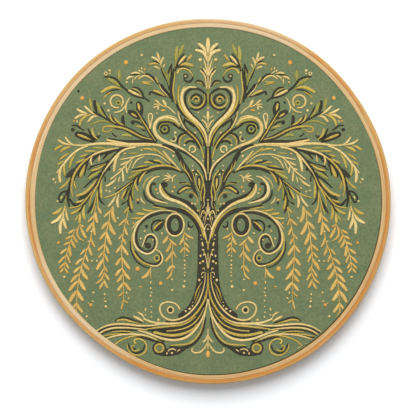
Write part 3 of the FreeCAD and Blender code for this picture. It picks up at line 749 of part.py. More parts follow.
def garland_outer():
    sprig = [
        coil((0.8, 1.1, 0.8), 104.6, -18.6, 107.6, -22.6, 110.6, -27, 112.8, -32.6, 114.6, -38, 116, -43,
             117.2, -49,
             117.8, -56),
        leaf(1.7, 105.4, -18.8, 101.3, -21.2), leaf(3.0, 104.8, -20.6, 102.8, -25.4, 100.0, -30.4),
        coil((1.0, 2.0, 1.0), 106, -21, 107.4, -25.8, 105.8, -30, 102.2, -32.2),
        leaf(2.3, 109, -22.8, 114.9, -26.5), leaf(2.3, 110.6, -27, 109.4, -30.6, 107.0, -34.2),
        leaf(2.1, 111.4, -28, 116.9, -31.1), leaf(2.5, 112.2, -30.2, 111, -34.6, 108.6, -38.4),
        leaf(2.3, 112.8, -33, 118.5, -35.9), leaf(3.0, 113.4, -36.8, 113.4, -41, 112.6, -45.5),
        leaf(2.5, 115.4, -38.6, 118.2, -40.6, 121.5, -43.3), leaf(2.0, 116, -43.2, 113.0, -50.9),
        leaf(2.1, 116.4, -44.2, 119.6, -47.2, 122.7, -50.9), leaf(2.1, 117.4, -49.4, 114.3, -55.4),
        leaf(2.1, 117.4, -50, 122.3, -55.4), leaf(2.1, 117.8, -54.6, 114.7, -59.1),
        leaf(2.1, 118.4, -54.6, 121.4, -58.8),
    ]
    return {"garland_outer": ("straw", sprig), "garland_beads": ("bead", [oval(1.2, 1.1, 117.9, -62.0)])}


def garland_tip():
    sprig = [
        coil((1.1, 1.4, 1.2), 117.2, -4, 118.8, -8.6, 121, -12.4),
        leaf(2.0, 116.4, -6, 116.2, -11, 114.6, -16.0),
        leaf(2.6, 118.6, -9.6, 118.6, -15.6, 116.1, -22.9),
        leaf(2.8, 119, -12.8, 121.2, -19.4, 121.1, -27.0),
        leaf(2.9, 119.2, -9.6, 123.4, -15.0, 129.1, -18.0),
    ]
    gold = [
        leaf(3.0, 119.6, -5.0, 123.6, -8.8, 128.0, -10.2), leaf(2.1, 104, -4.8, 107.8, -8.0, 112.9, -10.3),
        leaf(2.6, 101.4, -3.0, 102.4, -9, 101.0, -15.0), leaf(2.7, 105, -9.4, 105.4, -18.3),
        leaf(1.4, 106, -10.8, 109.2, -15.8),
    ]
    return {"garland_tip": ("cream", sprig), "garland_tip_leaves": ("gold", gold)}


def seeds():
    orange = [
        dot(1.9, 67.3, 114.1), dot(1.7, 103.3, 84.9), dot(0.95, 110.0, 66.1), oval(0.75, 1.15, 52.0, 108.6),
        oval(0.9, 1.2, 27.7, 11.6), dot(1.0, 42.5, 9.8), oval(1.2, 1.15, 57.5, 1.3), dot(0.95, 61.3, -17.8),
        dot(1.25, 122.8, -33.8), dot(1.65, 38.8, -67.2), dot(1.9, 57.9, -55.2),
        oval(1.0, 0.85, 55.3, -70.0),
        dot(1.4, 96.2, -84.9),
    ]
    return {"seed_dots": ("orange", orange)}


def tree():
    """Every clay node of the tree: name -> (clay, strokes of the right half)."""
    nodes = {}
    for feature in (trunk, roots, foot_sprig, heart, heart_sprigs, finial, crown, branches, boughs, rings,
                    garland_inner, garland_ring, garland_beaded, garland_middle, garland_long, garland_side,
                    garland_outer, garland_tip, seeds):
        for name, (clay, strokes) in feature().items():
            nodes.setdefault(name, (clay, []))[1].extend(strokes)
    return nodes


# ---------------------------------------------------------------- outline of a stroke

CURVE_STEPS = 12           # steps taken along each stretch between two given points


def smooth_line(path):
    """The given points joined by a smooth curve (Catmull-Rom), finely stepped."""
    ends = [(2 * path[0][0] - path[1][0], 2 * path[0][1] - path[1][1])] + path
    ends.append((2 * path[-1][0] - path[-2][0], 2 * path[-1][1] - path[-2][1]))
    line = []
    for p0, p1, p2, p3 in zip(ends, ends[1:], ends[2:], ends[3:]):
        for i in range(CURVE_STEPS):
            t = i / CURVE_STEPS
            line.append(tuple(
                0.5 * (2 * b + (c - a) * t + (2 * a - 5 * b + 4 * c - d) * t * t
                       + (3 * b - a - 3 * c + d) * t ** 3)
                for a, b, c, d in zip(p0, p1, p2, p3)))
    line.append(path[-1])
    return line


def lengths_along(line):
    total = [0.0]
    for (x0, z0), (x1, z1) in zip(line, line[1:]):
        total.append(total[-1] + math.hypot(x1 - x0, z1 - z0))
    return total


def even_points(line, total, first, last, count):
    """count + 1 evenly spaced (x, z, tangent x, tangent z) between two lengths along the line."""
    points, k = [], 0
    for i in range(count + 1):
        want = first + (last - first) * i / count
        while k < len(total) - 2 and total[k + 1] < want:
            k += 1
        (x0, z0), (x1, z1) = line[k], line[k + 1]
        step = total[k + 1] - total[k]
        t = (want - total[k]) / step
        before, after = line[max(k - 1, 0)], line[min(k + 2, len(line) - 1)]
        tx = (1 - t) * (x1 - before[0]) + t * (after[0] - x0)
        tz = (1 - t) * (z1 - before[1]) + t * (after[1] - z0)
        size = math.hypot(tx, tz)
        points.append((x0 + t * (x1 - x0), z0 + t * (z1 - z0), tx / size, tz / size))
    return points


def coil_half_width(width, t):
    start, middle, end = width
    near = start if t < 0.5 else end
    return max(THINNEST, near + (middle - near) * math.sin(math.pi * t)) / 2


def leaf_half_width(width, t):
    stalk, shoulder, tip = 0.34, 0.62, 0.74
    if t < shoulder:
        share = stalk + (1 - stalk) * math.sin(math.pi / 2 * t / shoulder)
    else:
        share = tip + (1 - tip) * math.cos(math.pi / 2 * (t - shoulder) / (1 - shoulder))
    return max(THINNEST, width * share) / 2


def stroke_sides(stroke):
    """Both sides of a coil or leaf from its start to its end, and the tops of its two round caps."""
    line = smooth_line(stroke["path"])
    total = lengths_along(line)
    if stroke["kind"] == "leaf":
        half_width, width = leaf_half_width, stroke["width"]
        last = total[-1] - leaf_half_width(width, 1.0)
    else:
        half_width, width = coil_half_width, stroke["width"]
        last = total[-1]
    count = max(4, math.ceil(last / SAMPLE_STEP))
    points = even_points(line, total, 0.0, last, count)
    left, right = [], []
    for i, (x, z, tx, tz) in enumerate(points):
        half = half_width(width, i / count)
        left.append((x - tz * half, z + tx * half))
        right.append((x + tz * half, z - tx * half))
    x, z, tx, tz = points[0]
    half = half_width(width, 0.0)
    start_cap = (x - tx * half, z - tz * half)
    x, z, tx, tz = points[-1]
    half = half_width(width, 1.0)
    end_cap = (x + tx * half, z + tz * half)
    return left, right, start_cap, end_cap


def mirrored(stroke):
    twin = dict(stroke, path=[(-x, z) for x, z in stroke["path"]])
    if stroke["kind"] == "oval":
        twin["tilt"] = -stroke["tilt"]
    return twin


def on_axis(stroke):
    return all(abs(x) < 0.05 for x, _ in stroke["path"])


# ---------------------------------------------------------------- solids of the relief

def in_slab(x, z):
    return FreeCAD.Vector(x, FACE_Y + PRESS, z)


def side_edge(points):
    curve = Part.BSplineCurve()
    curve.interpolate([in_slab(x, z) for x, z in points])
    return curve.toShape()


def ribbon_face(stroke):
    left, right, start_cap, end_cap = stroke_sides(stroke)
    end_arc = Part.Arc(in_slab(*left[-1]), in_slab(*end_cap), in_slab(*right[-1])).toShape()
    start_arc = Part.Arc(in_slab(*right[0]), in_slab(*start_cap), in_slab(*left[0])).toShape()
    return Part.Face(Part.Wire([side_edge(left), end_arc, side_edge(right[::-1]), start_arc]))


def oval_wire(x, z, rx, rz, tilt=0.0):
    centre = in_slab(x, z)
    if abs(rx - rz) < 1e-6:
        return Part.Wire(Part.Circle(centre, FreeCAD.Vector(0, 1, 0), rx).toShape())
    turn = math.radians(tilt)
    along_x = FreeCAD.Vector(math.cos(turn), 0, math.sin(turn)) * rx
    along_z = FreeCAD.Vector(-math.sin(turn), 0, math.cos(turn)) * rz
    longer, shorter = (along_x, along_z) if rx > rz else (along_z, along_x)
    return Part.Wire(Part.Ellipse(centre + longer, centre + shorter, centre).toShape())


def trimmed(face):
    """The face without what lies beyond the slab's rounded edge."""
    if max(math.hypot(v.X, v.Z) for v in face.Vertexes) < CLAY_REACH:
        return face
    return face.common(Part.Face(oval_wire(0, 0, CLAY_REACH, CLAY_REACH))).Faces[0]


def stroke_face(stroke):
    if stroke["kind"] in ("coil", "leaf"):
        return trimmed(ribbon_face(stroke))
    x, z = stroke["path"][0]
    rx, rz = stroke["radii"]
    if stroke["kind"] == "oval":
        return trimmed(Part.Face(oval_wire(x, z, rx, rz, stroke["tilt"])))
    half = stroke["width"] / 2
    return Part.Face(oval_wire(x, z, rx + half, rz + half)).cut(
        Part.Face(oval_wire(x, z, rx - half, rz - half))).Faces[0]


def clay_node(clay, strokes):
    """All strokes of one node and their mirror twins, pressed into the slab's face."""
    solids = []
    out = FreeCAD.Vector(0, -(PRESS + RELIEF[clay]), 0)
    for stroke in strokes:
        solids.append(stroke_face(stroke).extrude(out))
        if not on_axis(stroke):
            solids.append(stroke_face(mirrored(stroke)).extrude(out))
    return Part.makeCompound(solids)


# ---------------------------------------------------------------- hoop, slab, panel and hanger

def disc(radius, front_y, back_y, z=0):
    """A cylinder along Y on the plane x = 0."""
    return Part.makeCylinder(radius, back_y - front_y, FreeCAD.Vector(0, front_y, z),
                             FreeCAD.Vector(0, 1, 0))


def rim_edges(shape, radius, y):
    """The full circles of one radius that lie at one depth."""
    return [edge for edge in shape.Edges
            if isinstance(edge.Curve, Part.Circle)
            and abs(edge.Curve.Radius - radius) < 1e-6
            and abs(edge.Curve.Center.y - y) < 1e-6]


def ply_ring(outer, inner, rounded):
    ring = disc(outer, -HOOP_DEPTH, 0).cut(disc(inner, -HOOP_DEPTH - 1, 1))
    edges = rim_edges(ring, rounded, -HOOP_DEPTH) + rim_edges(ring, rounded, 0)
    return ring.makeFillet(HOOP_EDGE, edges)


def outer_hoop():
    return ply_ring(PLAQUE_RADIUS, INNER_PLY_RADIUS, PLAQUE_RADIUS)


def inner_hoop():
    return ply_ring(INNER_PLY_RADIUS, BORE_RADIUS, BORE_RADIUS)


def clay_slab():
    slab = disc(FILL_RADIUS, FACE_Y, SLAB_BACK_Y)
    return slab.makeFillet(SLAB_EDGE, rim_edges(slab, FILL_RADIUS, FACE_Y))


def screw_heights():
    return [HANGER_Z - drop for drop in SCREW_DROPS]


def back_panel():
    panel = disc(FILL_RADIUS, SLAB_BACK_Y, PANEL_BACK_Y)
    for z in screw_heights():
        panel = panel.cut(disc(SHANK_RADIUS, PANEL_BACK_Y - SHANK_LENGTH, PANEL_BACK_Y, z))
    return panel


def framing_brads():
    """Headless brads lying on the panel's back, their outer ends driven into the inner ply."""
    brads = []
    for i in range(BRAD_COUNT):
        angle = 2 * math.pi * (i + 0.5) / BRAD_COUNT
        outward = FreeCAD.Vector(math.cos(angle), 0, math.sin(angle))
        start = outward * (BORE_RADIUS + BRAD_BITE - BRAD_LENGTH)
        start.y = PANEL_BACK_Y + BRAD_RADIUS
        brads.append(Part.makeCylinder(BRAD_RADIUS, BRAD_LENGTH, start, outward))
    return Part.makeCompound(brads)


def across(radius, length, y, z):
    """A cylinder lying along X, centred on x = 0."""
    return Part.makeCylinder(radius, length, FreeCAD.Vector(-length / 2, y, z), FreeCAD.Vector(1, 0, 0))


def hanger_strap():
    """A plate with a round lower end and a rolled knuckle at its top."""
    end_radius = STRAP_WIDTH / 2
    end_z = HANGER_Z - STRAP_LENGTH + end_radius
    back_y = PANEL_BACK_Y + STRAP_THICKNESS
    plate = Part.makeBox(STRAP_WIDTH, STRAP_THICKNESS, HANGER_Z - end_z,
                         FreeCAD.Vector(-end_radius, PANEL_BACK_Y, end_z))
    tongue = disc(end_radius, PANEL_BACK_Y, back_y, end_z)
    bore_radius = WIRE_RADIUS + PIVOT_CLEARANCE
    knuckle = across(bore_radius + STRAP_THICKNESS, STRAP_WIDTH, PIVOT_Y, HANGER_Z)
    strap = plate.fuse([tongue, knuckle]).cut(across(bore_radius, STRAP_WIDTH + 2, PIVOT_Y, HANGER_Z))
    for z in screw_heights():
        strap = strap.cut(disc(SHANK_RADIUS + SCREW_CLEARANCE, PANEL_BACK_Y, back_y, z))
    return strap.removeSplitter()


def wire_ring(radius, x, z):
    """A full ring of round wire lying in the plane of the hanging D."""
    return Part.makeTorus(radius, WIRE_RADIUS, FreeCAD.Vector(x, PIVOT_Y, z), FreeCAD.Vector(0, 1, 0))


def hanger_ring():
    """A D of round wire: a bar in the knuckle, two small corners and a half circle hanging below."""
    bar_half = RING_RADIUS - RING_CORNER
    centre_z = HANGER_Z - RING_CORNER
    front_y = PIVOT_Y - 2 * WIRE_RADIUS
    ring = across(WIRE_RADIUS, 2 * bar_half, PIVOT_Y, HANGER_Z)
    for left_x, corner_x in ((bar_half, bar_half), (-bar_half - 2 * RING_RADIUS, -bar_half)):
        above = Part.makeBox(2 * RING_RADIUS, 4 * WIRE_RADIUS, 2 * RING_RADIUS,
                             FreeCAD.Vector(left_x, front_y, centre_z))
        ring = ring.fuse(wire_ring(RING_CORNER, corner_x, centre_z).common(above))
    below = Part.makeBox(4 * RING_RADIUS, 4 * WIRE_RADIUS, 2 * RING_RADIUS,
                         FreeCAD.Vector(-2 * RING_RADIUS, front_y, centre_z - 2 * RING_RADIUS))
    return ring.fuse(wire_ring(RING_RADIUS, 0, centre_z).common(below)).removeSplitter()


def hanger_screws():
    """Two round-headed screws, each with a cross recess."""
    screws = []
    head_y = PANEL_BACK_Y + STRAP_THICKNESS
    top_y = head_y + HEAD_HEIGHT
    for z in screw_heights():
        shank = disc(SHANK_RADIUS, PANEL_BACK_Y - SHANK_LENGTH, head_y, z)
        head = disc(HEAD_RADIUS, head_y, top_y, z)
        head = head.makeFillet(HEAD_ROUND, rim_edges(head, HEAD_RADIUS, top_y))
        for wide, high in ((RECESS_SPAN, RECESS_WIDTH), (RECESS_WIDTH, RECESS_SPAN)):
            slot = Part.makeBox(wide, RECESS_DEPTH, high,
                                FreeCAD.Vector(-wide / 2, top_y - RECESS_DEPTH, z - high / 2))
            head = head.cut(slot)
        screws.append(shank.fuse(head).removeSplitter())
    return Part.makeCompound(screws)


def main():
    frame_parts = {
        "outer_hoop": outer_hoop(),
        "inner_hoop": inner_hoop(),
        "clay_slab": clay_slab(),
        "back_panel": back_panel(),
        "framing_brads": framing_brads(),
        "hanger_strap": hanger_strap(),
        "hanger_ring": hanger_ring(),
        "hanger_screws": hanger_screws(),
    }
    for name, (clay, strokes) in tree().items():
        frame_parts[name] = clay_node(clay, strokes)
    for name, shape in frame_parts.items():
        shape.exportStep(f"parts/{name}.step")


main()
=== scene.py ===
"""Looks of a round wall plaque with a clay tree of life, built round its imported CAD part.

Every string, leaf and ball of clay is rebuilt as a rounded relief from the outline of its CAD
solid. The two plies of the hoop and the slab are swept anew, a little out of round. The panel, the
brads and the hanger keep their CAD meshes and get softened edges and materials.
"""
import json
import math
import random

import bpy
import numpy as np
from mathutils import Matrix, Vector, noise
from mathutils.geometry import delaunay_2d_cdt


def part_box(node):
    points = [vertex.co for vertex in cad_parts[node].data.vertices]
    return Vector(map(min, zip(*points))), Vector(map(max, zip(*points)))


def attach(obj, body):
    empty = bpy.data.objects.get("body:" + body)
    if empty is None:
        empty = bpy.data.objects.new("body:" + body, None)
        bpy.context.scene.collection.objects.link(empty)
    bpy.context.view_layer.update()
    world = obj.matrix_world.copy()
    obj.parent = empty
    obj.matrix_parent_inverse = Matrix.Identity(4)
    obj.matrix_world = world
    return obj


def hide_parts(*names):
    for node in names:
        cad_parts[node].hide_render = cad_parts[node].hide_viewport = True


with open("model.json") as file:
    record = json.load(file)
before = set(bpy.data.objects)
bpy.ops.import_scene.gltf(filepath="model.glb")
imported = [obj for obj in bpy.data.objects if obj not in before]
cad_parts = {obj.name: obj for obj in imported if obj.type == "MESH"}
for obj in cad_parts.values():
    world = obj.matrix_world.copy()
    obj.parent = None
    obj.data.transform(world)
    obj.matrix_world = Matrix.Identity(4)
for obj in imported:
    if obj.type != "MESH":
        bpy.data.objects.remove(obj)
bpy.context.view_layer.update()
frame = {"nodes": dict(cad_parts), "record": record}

# ---------------------------------------------------------------- sizes

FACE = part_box("clay_slab")[0][1]              # front face of the slab, along Y, in metres
RIM_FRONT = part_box("outer_hoop")[0][1]
RIM_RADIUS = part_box("outer_hoop")[1][0]
SEAM_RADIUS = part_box("inner_hoop")[1][0]      # where the two bentwood plies meet
BORE_RADIUS = 2 * SEAM_RADIUS - RIM_RADIUS    # the plies are equally thick

OUTLINE_STEP = 0.6        # mm between points along a clay outline, and at most inside it
FINEST_STEP = 0.12        # mm at least between points inside it
STEP_PER_DEPTH = 0.45     # how quickly their spacing widens with the distance to the outline
EDGE_ROUND = 0.85         # mm from the outline to where the relief is flat
RING_DEPTHS = (0.10, 0.34, 0.68, 1.0)   # rings of points, as shares of the rounded edge
RING_LIMIT = 0.9          # share of the way to the middle line beyond which a ring stops
CROWN = 0.10              # mm that broad pieces swell above their rounded edge
FOOT = 0.2                # mm that each piece is sunk in the slab
HAND_WOBBLE = 0.10        # share by which the height of hand-rolled clay varies
WOBBLE_PER_MM = 0.35      # how quickly it varies along the slab
NEAR_FRONT = 0.01         # mm within which a corner counts as lying on a piece's front face

# Directions on the disc, in degrees: 0 to the right, 90 up
CREVICE_TURN = 305        # where a gap shows between slab and hoop, darkened by painted shade
# where painted highlights lie on the hoop
HIGHLIGHT_TOP = 78
HIGHLIGHT_LOWER_LEFT = 218
HIGHLIGHT_UPPER_LEFT = 138
FAINT_GLUE = 112          # where the glue line nearly fades out

HOOP_WIDTH = 7.2          # mm across both plies
LAYER_SLANT = 180.0       # mm across per metre of depth that the wood's layers slant
PLY_BACK_ROUND = 0.0007
INNER_PLY_BACK = 0.0003   # metres that the inner ply stands behind the outer one
TREMBLE = 0.0002          # metres, twice the fine unevenness of a hand-worked edge
TREMBLE_RATE = 2.2        # how quickly it varies round the disc
ROUND_STEPS = 5           # facets in a quarter round

SLAB_ROUND = 0.0007
SLAB_TUCK = 0.0005        # metres that the slab reaches under the hoop
SLAB_SHRINK = 0.00078     # metres that it has drawn back at the crevice
DARK_SPOT = (-0.1063, FACE, 0.0906)           # a small dark spot in the clay
DARK_SPOT_RADIUS = 0.0012

WALL_GAP = 0.0006         # metres between the plaque's back and the wall
FLOOR_HEIGHT = -0.32
STAGE_REACH = 2.5
VIEW_WIDTH = 0.3414       # metres across the picture at the disc's face
VIEW_CENTRE = (0.0, -0.0053)            # x and z that the picture is centred on
VIEW_DISTANCE = 3.2
SENSOR_WIDTH = 36.0

# Metres that the edges of the pieces kept from the CAD are softened
SOFT_EDGES = {"back_panel": 0.0004, "hanger_strap": 0.00025,
              "hanger_screws": 0.0002, "framing_brads": 0.0001}
SOFT_ANGLE = 40           # degrees between faces from which an edge is softened


def srgb(red, green, blue):
    """A colour given as on a screen, 0 to 255, in the linear values the shader takes."""
    return tuple(
        (c / 255 / 12.92 if c / 255 <= 0.04045 else ((c / 255 + 0.055) / 1.055) ** 2.4)
        for c in (red, green, blue)) + (1.0,)


# ---------------------------------------------------------------- material helpers

class Shader:
    """A node material built step by step."""

    def __init__(self, name, roughness, specular=0.5, metallic=0.0):
        self.material = bpy.data.materials.new(name)
        self.material.use_nodes = True
        self.tree = self.material.node_tree
        self.surface = self.tree.nodes["Principled BSDF"]
        self.surface.inputs["Roughness"].default_value = roughness
        self.surface.inputs["Specular IOR Level"].default_value = specular
        self.surface.inputs["Metallic"].default_value = metallic
        self.place = self.node("ShaderNodeTexCoord").outputs["Object"]

    def node(self, kind, **settings):
        made = self.tree.nodes.new(kind)
        for key, value in settings.items():
            setattr(made, key, value)
        return made

    def link(self, source, target):
        if isinstance(source, (int, float, tuple)):
            target.default_value = source
        else:
            self.tree.links.new(source, target)

    def math(self, operation, *values):
        made = self.node("ShaderNodeMath", operation=operation)
        for value, target in zip(values, made.inputs):
            self.link(value, target)
        return made.outputs[0]

    def noise(self, scale, detail=4.0, place=None, rough=0.55, w=None):
        made = self.node("ShaderNodeTexNoise")
        if w is not None:
            made.noise_dimensions = "4D"
            self.link(w, made.inputs["W"])
        self.link(self.place if place is None else place, made.inputs["Vector"])
        made.inputs["Scale"].default_value = scale
        made.inputs["Detail"].default_value = detail
        made.inputs["Roughness"].default_value = rough
        return made.outputs["Fac"]

    def between(self, value, low, high):
        """value stretched so that low gives 0 and high gives 1."""
        made = self.node("ShaderNodeMapRange", interpolation_type="SMOOTHSTEP")
        self.link(value, made.inputs["Value"])
        made.inputs["From Min"].default_value = low
        made.inputs["From Max"].default_value = high
        return made.outputs["Result"]

    def mix(self, share, a, b):
        made = self.node("ShaderNodeMix", data_type="RGBA")
        self.link(share, made.inputs[0])
        self.link(a, made.inputs[6])
        self.link(b, made.inputs[7])
        return made.outputs[2]

    def bump(self, height, distance, strength):
        made = self.node("ShaderNodeBump")
        made.inputs["Distance"].default_value = distance
        made.inputs["Strength"].default_value = strength
        self.link(height, made.inputs["Height"])
        self.link(made.outputs["Normal"], self.surface.inputs["Normal"])

    def paint(self, colour):
        self.link(colour, self.surface.inputs["Base Color"])
        return self.material


# ---------------------------------------------------------------- materials

def clay_paint(name, ridge, edge, other, grain=0.00012):
    """Coloured clay, each piece a little different, with painted shade: darker at the foot, lighter
    along the ridge.
    """
    s = Shader(name, roughness=0.72, specular=0.3)
    tone = s.node("ShaderNodeAttribute", attribute_name="tone")
    parts = s.node("ShaderNodeSeparateColor")
    s.link(tone.outputs["Color"], parts.inputs[0])
    piece, depth = parts.outputs[0], parts.outputs[1]
    smear = s.between(s.noise(650.0, 3.0), 0.40, 0.62)
    body = s.mix(s.math("MULTIPLY", piece, 0.8), ridge, other)
    body = s.mix(s.math("MULTIPLY", smear, 0.38), body, edge)
    # painted shade: each piece turns to its edge colour toward its foot, where it meets the slab
    colour = s.mix(s.between(depth, -0.30, 0.62), edge, body)
    speck = s.between(s.noise(1900.0, 2.0), 0.30, 0.42)
    colour = s.mix(s.math("MULTIPLY", s.math("SUBTRACT", 1.0, speck), 0.35), colour, edge)
    s.bump(s.noise(1500.0, 5.0), grain, 0.8)
    return s.paint(colour)


def facing(s):
    """The direction from the disc's middle to a place on it, a vector of length 1 in X and Z."""
    flat = s.node("ShaderNodeVectorMath", operation="MULTIPLY")
    s.link(s.place, flat.inputs[0])
    flat.inputs[1].default_value = (1.0, 0.0, 1.0)
    unit = s.node("ShaderNodeVectorMath", operation="NORMALIZE")
    s.link(flat.outputs[0], unit.inputs[0])
    return unit.outputs[0]


def toward(s, degrees):
    """Cosine of the angle between a direction from the disc's middle and that to a place on it."""
    made = s.node("ShaderNodeVectorMath", operation="DOT_PRODUCT")
    s.link(facing(s), made.inputs[0])
    turn = math.radians(degrees)
    made.inputs[1].default_value = (math.cos(turn), 0.0, math.sin(turn))
    return made.outputs["Value"]


def bentwood(name, pale, tan, streak, glue, line_at, line_width, line_share):
    """Wood bent round the disc: the grain runs along the ring, and glue has coloured a line in it.

    The line lies line_at mm from the bore. A pale painted highlight lies on the top and on the left
    side toward the clay, and the side with the crevice is darker and streakier.
    """
    s = Shader(name, roughness=0.5, specular=0.35)
    around = facing(s)
    share_across = s.node("ShaderNodeAttribute", attribute_name="across").outputs["Fac"]
    across = s.math("MULTIPLY", share_across, HOOP_WIDTH)
    split = s.node("ShaderNodeSeparateXYZ")
    s.link(s.place, split.inputs[0])
    layer = s.math("ADD", across, s.math("MULTIPLY", split.outputs["Y"], LAYER_SLANT))
    broad = s.noise(2.2, 3.0, around, w=s.math("MULTIPLY", layer, 0.5))
    grain = s.noise(3.2, 5.0, around, rough=0.7, w=s.math("MULTIPLY", layer, 1.3))
    fine = s.noise(11.0, 5.0, around, rough=0.75, w=s.math("MULTIPLY", layer, 3.2))
    colour = s.mix(s.between(broad, 0.38, 0.60), pale, tan)
    # darker streaks towards the lower right, the side with the crevice
    crevice_side = s.between(toward(s, CREVICE_TURN), 0.0, 0.75)
    darker_streaks = s.math("MULTIPLY", crevice_side, s.between(grain, 0.40, 0.56))
    colour = s.mix(s.math("MULTIPLY", darker_streaks, 0.75), colour, streak)
    colour = s.mix(s.math("MULTIPLY", s.between(grain, 0.48, 0.62), 0.65), colour, streak)
    colour = s.mix(s.math("MULTIPLY", s.between(fine, 0.48, 0.62), 0.55), colour, streak)
    # painted highlight: a pale colour on the top of the hoop and on its left side toward the clay,
    # broken into patches by the fine grain
    highlight_left = s.math("MAXIMUM", s.between(toward(s, HIGHLIGHT_LOWER_LEFT), 0.88, 0.98),
                       s.between(toward(s, HIGHLIGHT_UPPER_LEFT), 0.70, 1.10))
    inside = s.math("MULTIPLY", highlight_left, s.between(across, 5.6, 3.4))
    painted_highlight = s.math("MAXIMUM", s.between(toward(s, HIGHLIGHT_TOP), 0.91, 0.985), inside)
    highlight_patches = s.math("MULTIPLY_ADD", s.between(fine, 0.40, 0.55), -0.35, 0.7)
    colour = s.mix(s.math("MULTIPLY", painted_highlight, highlight_patches), colour, srgb(226, 205, 170))
    drift = s.math("MULTIPLY", s.math("SUBTRACT", s.noise(2.4, 3.0, around, w=4.0), 0.5), 2.0)
    drifted = s.math("ADD", across, drift)
    away = s.math("ABSOLUTE", s.math("SUBTRACT", drifted, line_at))
    near = s.math("SUBTRACT", 1.0, s.between(away, 0.1, line_width))
    # the glue line fades under the painted highlight and toward FAINT_GLUE
    faint = s.math("MAXIMUM", painted_highlight, s.between(toward(s, FAINT_GLUE), 0.60, 0.90))
    patchy = s.math("MULTIPLY", s.between(s.noise(3.0, 4.0, around, w=9.0), 0.34, 0.54),
                    s.math("MULTIPLY_ADD", faint, -0.8, 1.0))
    share = s.math("MULTIPLY", near, s.math("MULTIPLY_ADD", patchy, 0.65, 0.35))
    colour = s.mix(s.math("MULTIPLY", share, line_share), colour, glue)
    s.bump(s.math("ADD", s.math("MULTIPLY", fine, 0.6), grain), 0.00025, 0.6)
    return s.paint(colour)


def slab_clay():
    """The green ground: leathery grain, faint clouds, dark specks, a dark spot and painted shade in
    the crevice by the hoop.
    """
    s = Shader("green_clay", roughness=0.85, specular=0.22)
    cloud = s.between(s.noise(60.0, 5.0), 0.35, 0.65)
    grain = s.between(s.noise(560.0, 4.0, rough=0.7), 0.36, 0.64)
    colour = s.mix(cloud, srgb(112, 127, 90), srgb(124, 132, 92))
    colour = s.mix(s.math("MULTIPLY", grain, 0.55), colour, srgb(90, 103, 72))
    cells = s.node("ShaderNodeTexVoronoi", feature="F1")
    s.link(s.place, cells.inputs["Vector"])
    cells.inputs["Scale"].default_value = 70.0
    chosen = s.node("ShaderNodeSeparateColor")
    s.link(cells.outputs["Color"], chosen.inputs[0])
    grog = s.math("MULTIPLY", s.math("LESS_THAN", cells.outputs["Distance"], 0.035),
                  s.math("GREATER_THAN", chosen.outputs[0], 0.86))
    colour = s.mix(s.math("MULTIPLY", grog, 0.6), colour, srgb(70, 62, 38))
    spot_distance = s.node("ShaderNodeVectorMath", operation="DISTANCE")
    s.link(s.place, spot_distance.inputs[0])
    spot_distance.inputs[1].default_value = DARK_SPOT
    in_spot = s.between(spot_distance.outputs["Value"], DARK_SPOT_RADIUS, 0.7 * DARK_SPOT_RADIUS)
    colour = s.mix(in_spot, colour, srgb(24, 18, 10))
    inset = s.node("ShaderNodeAttribute", attribute_name="inset").outputs["Fac"]
    # painted shade in the crevice: the slab's rounded edge turns dark brown toward the lower right,
    # where it has drawn back from the hoop
    rim = s.between(inset, 1.0, 0.5)
    darkening = s.math("MULTIPLY", rim, s.between(toward(s, CREVICE_TURN), 0.2, 0.7))
    colour = s.mix(s.math("MULTIPLY", darkening, 0.85), colour, srgb(58, 40, 22))
    leather = s.noise(700.0, 5.0, rough=0.65)
    waves = s.math("MULTIPLY", s.noise(60.0, 3.0), 2.5)
    s.bump(s.math("ADD", leather, waves), 0.0003, 0.8)
    return s.paint(colour)


def plywood():
    """The back panel: rotary-cut birch face with long broad figure."""
    s = Shader("panel_ply", roughness=0.65, specular=0.3)
    stretch = s.node("ShaderNodeMapping")
    stretch.inputs["Scale"].default_value = (0.5, 0.3, 11.0)
    s.link(s.place, stretch.inputs["Vector"])
    figure = s.noise(9.0, 4.0, stretch.outputs[0], rough=0.6)
    fine = s.noise(120.0, 4.0, stretch.outputs[0], rough=0.7)
    colour = s.mix(s.between(figure, 0.30, 0.70), srgb(214, 188, 148), srgb(198, 166, 122))
    colour = s.mix(s.math("MULTIPLY", s.between(fine, 0.46, 0.64), 0.5), colour, srgb(168, 132, 90))
    s.bump(fine, 0.0002, 0.5)
    return s.paint(colour)


def metal(name, light, dull, roughness):
    """Plated or bare metal with light handling marks."""
    s = Shader(name, roughness=roughness, metallic=1.0)
    darkening = s.between(s.noise(160.0, 4.0), 0.4, 0.7)
    s.bump(s.noise(900.0, 3.0), 0.00004, 0.4)
    return s.paint(s.mix(darkening, light, dull))


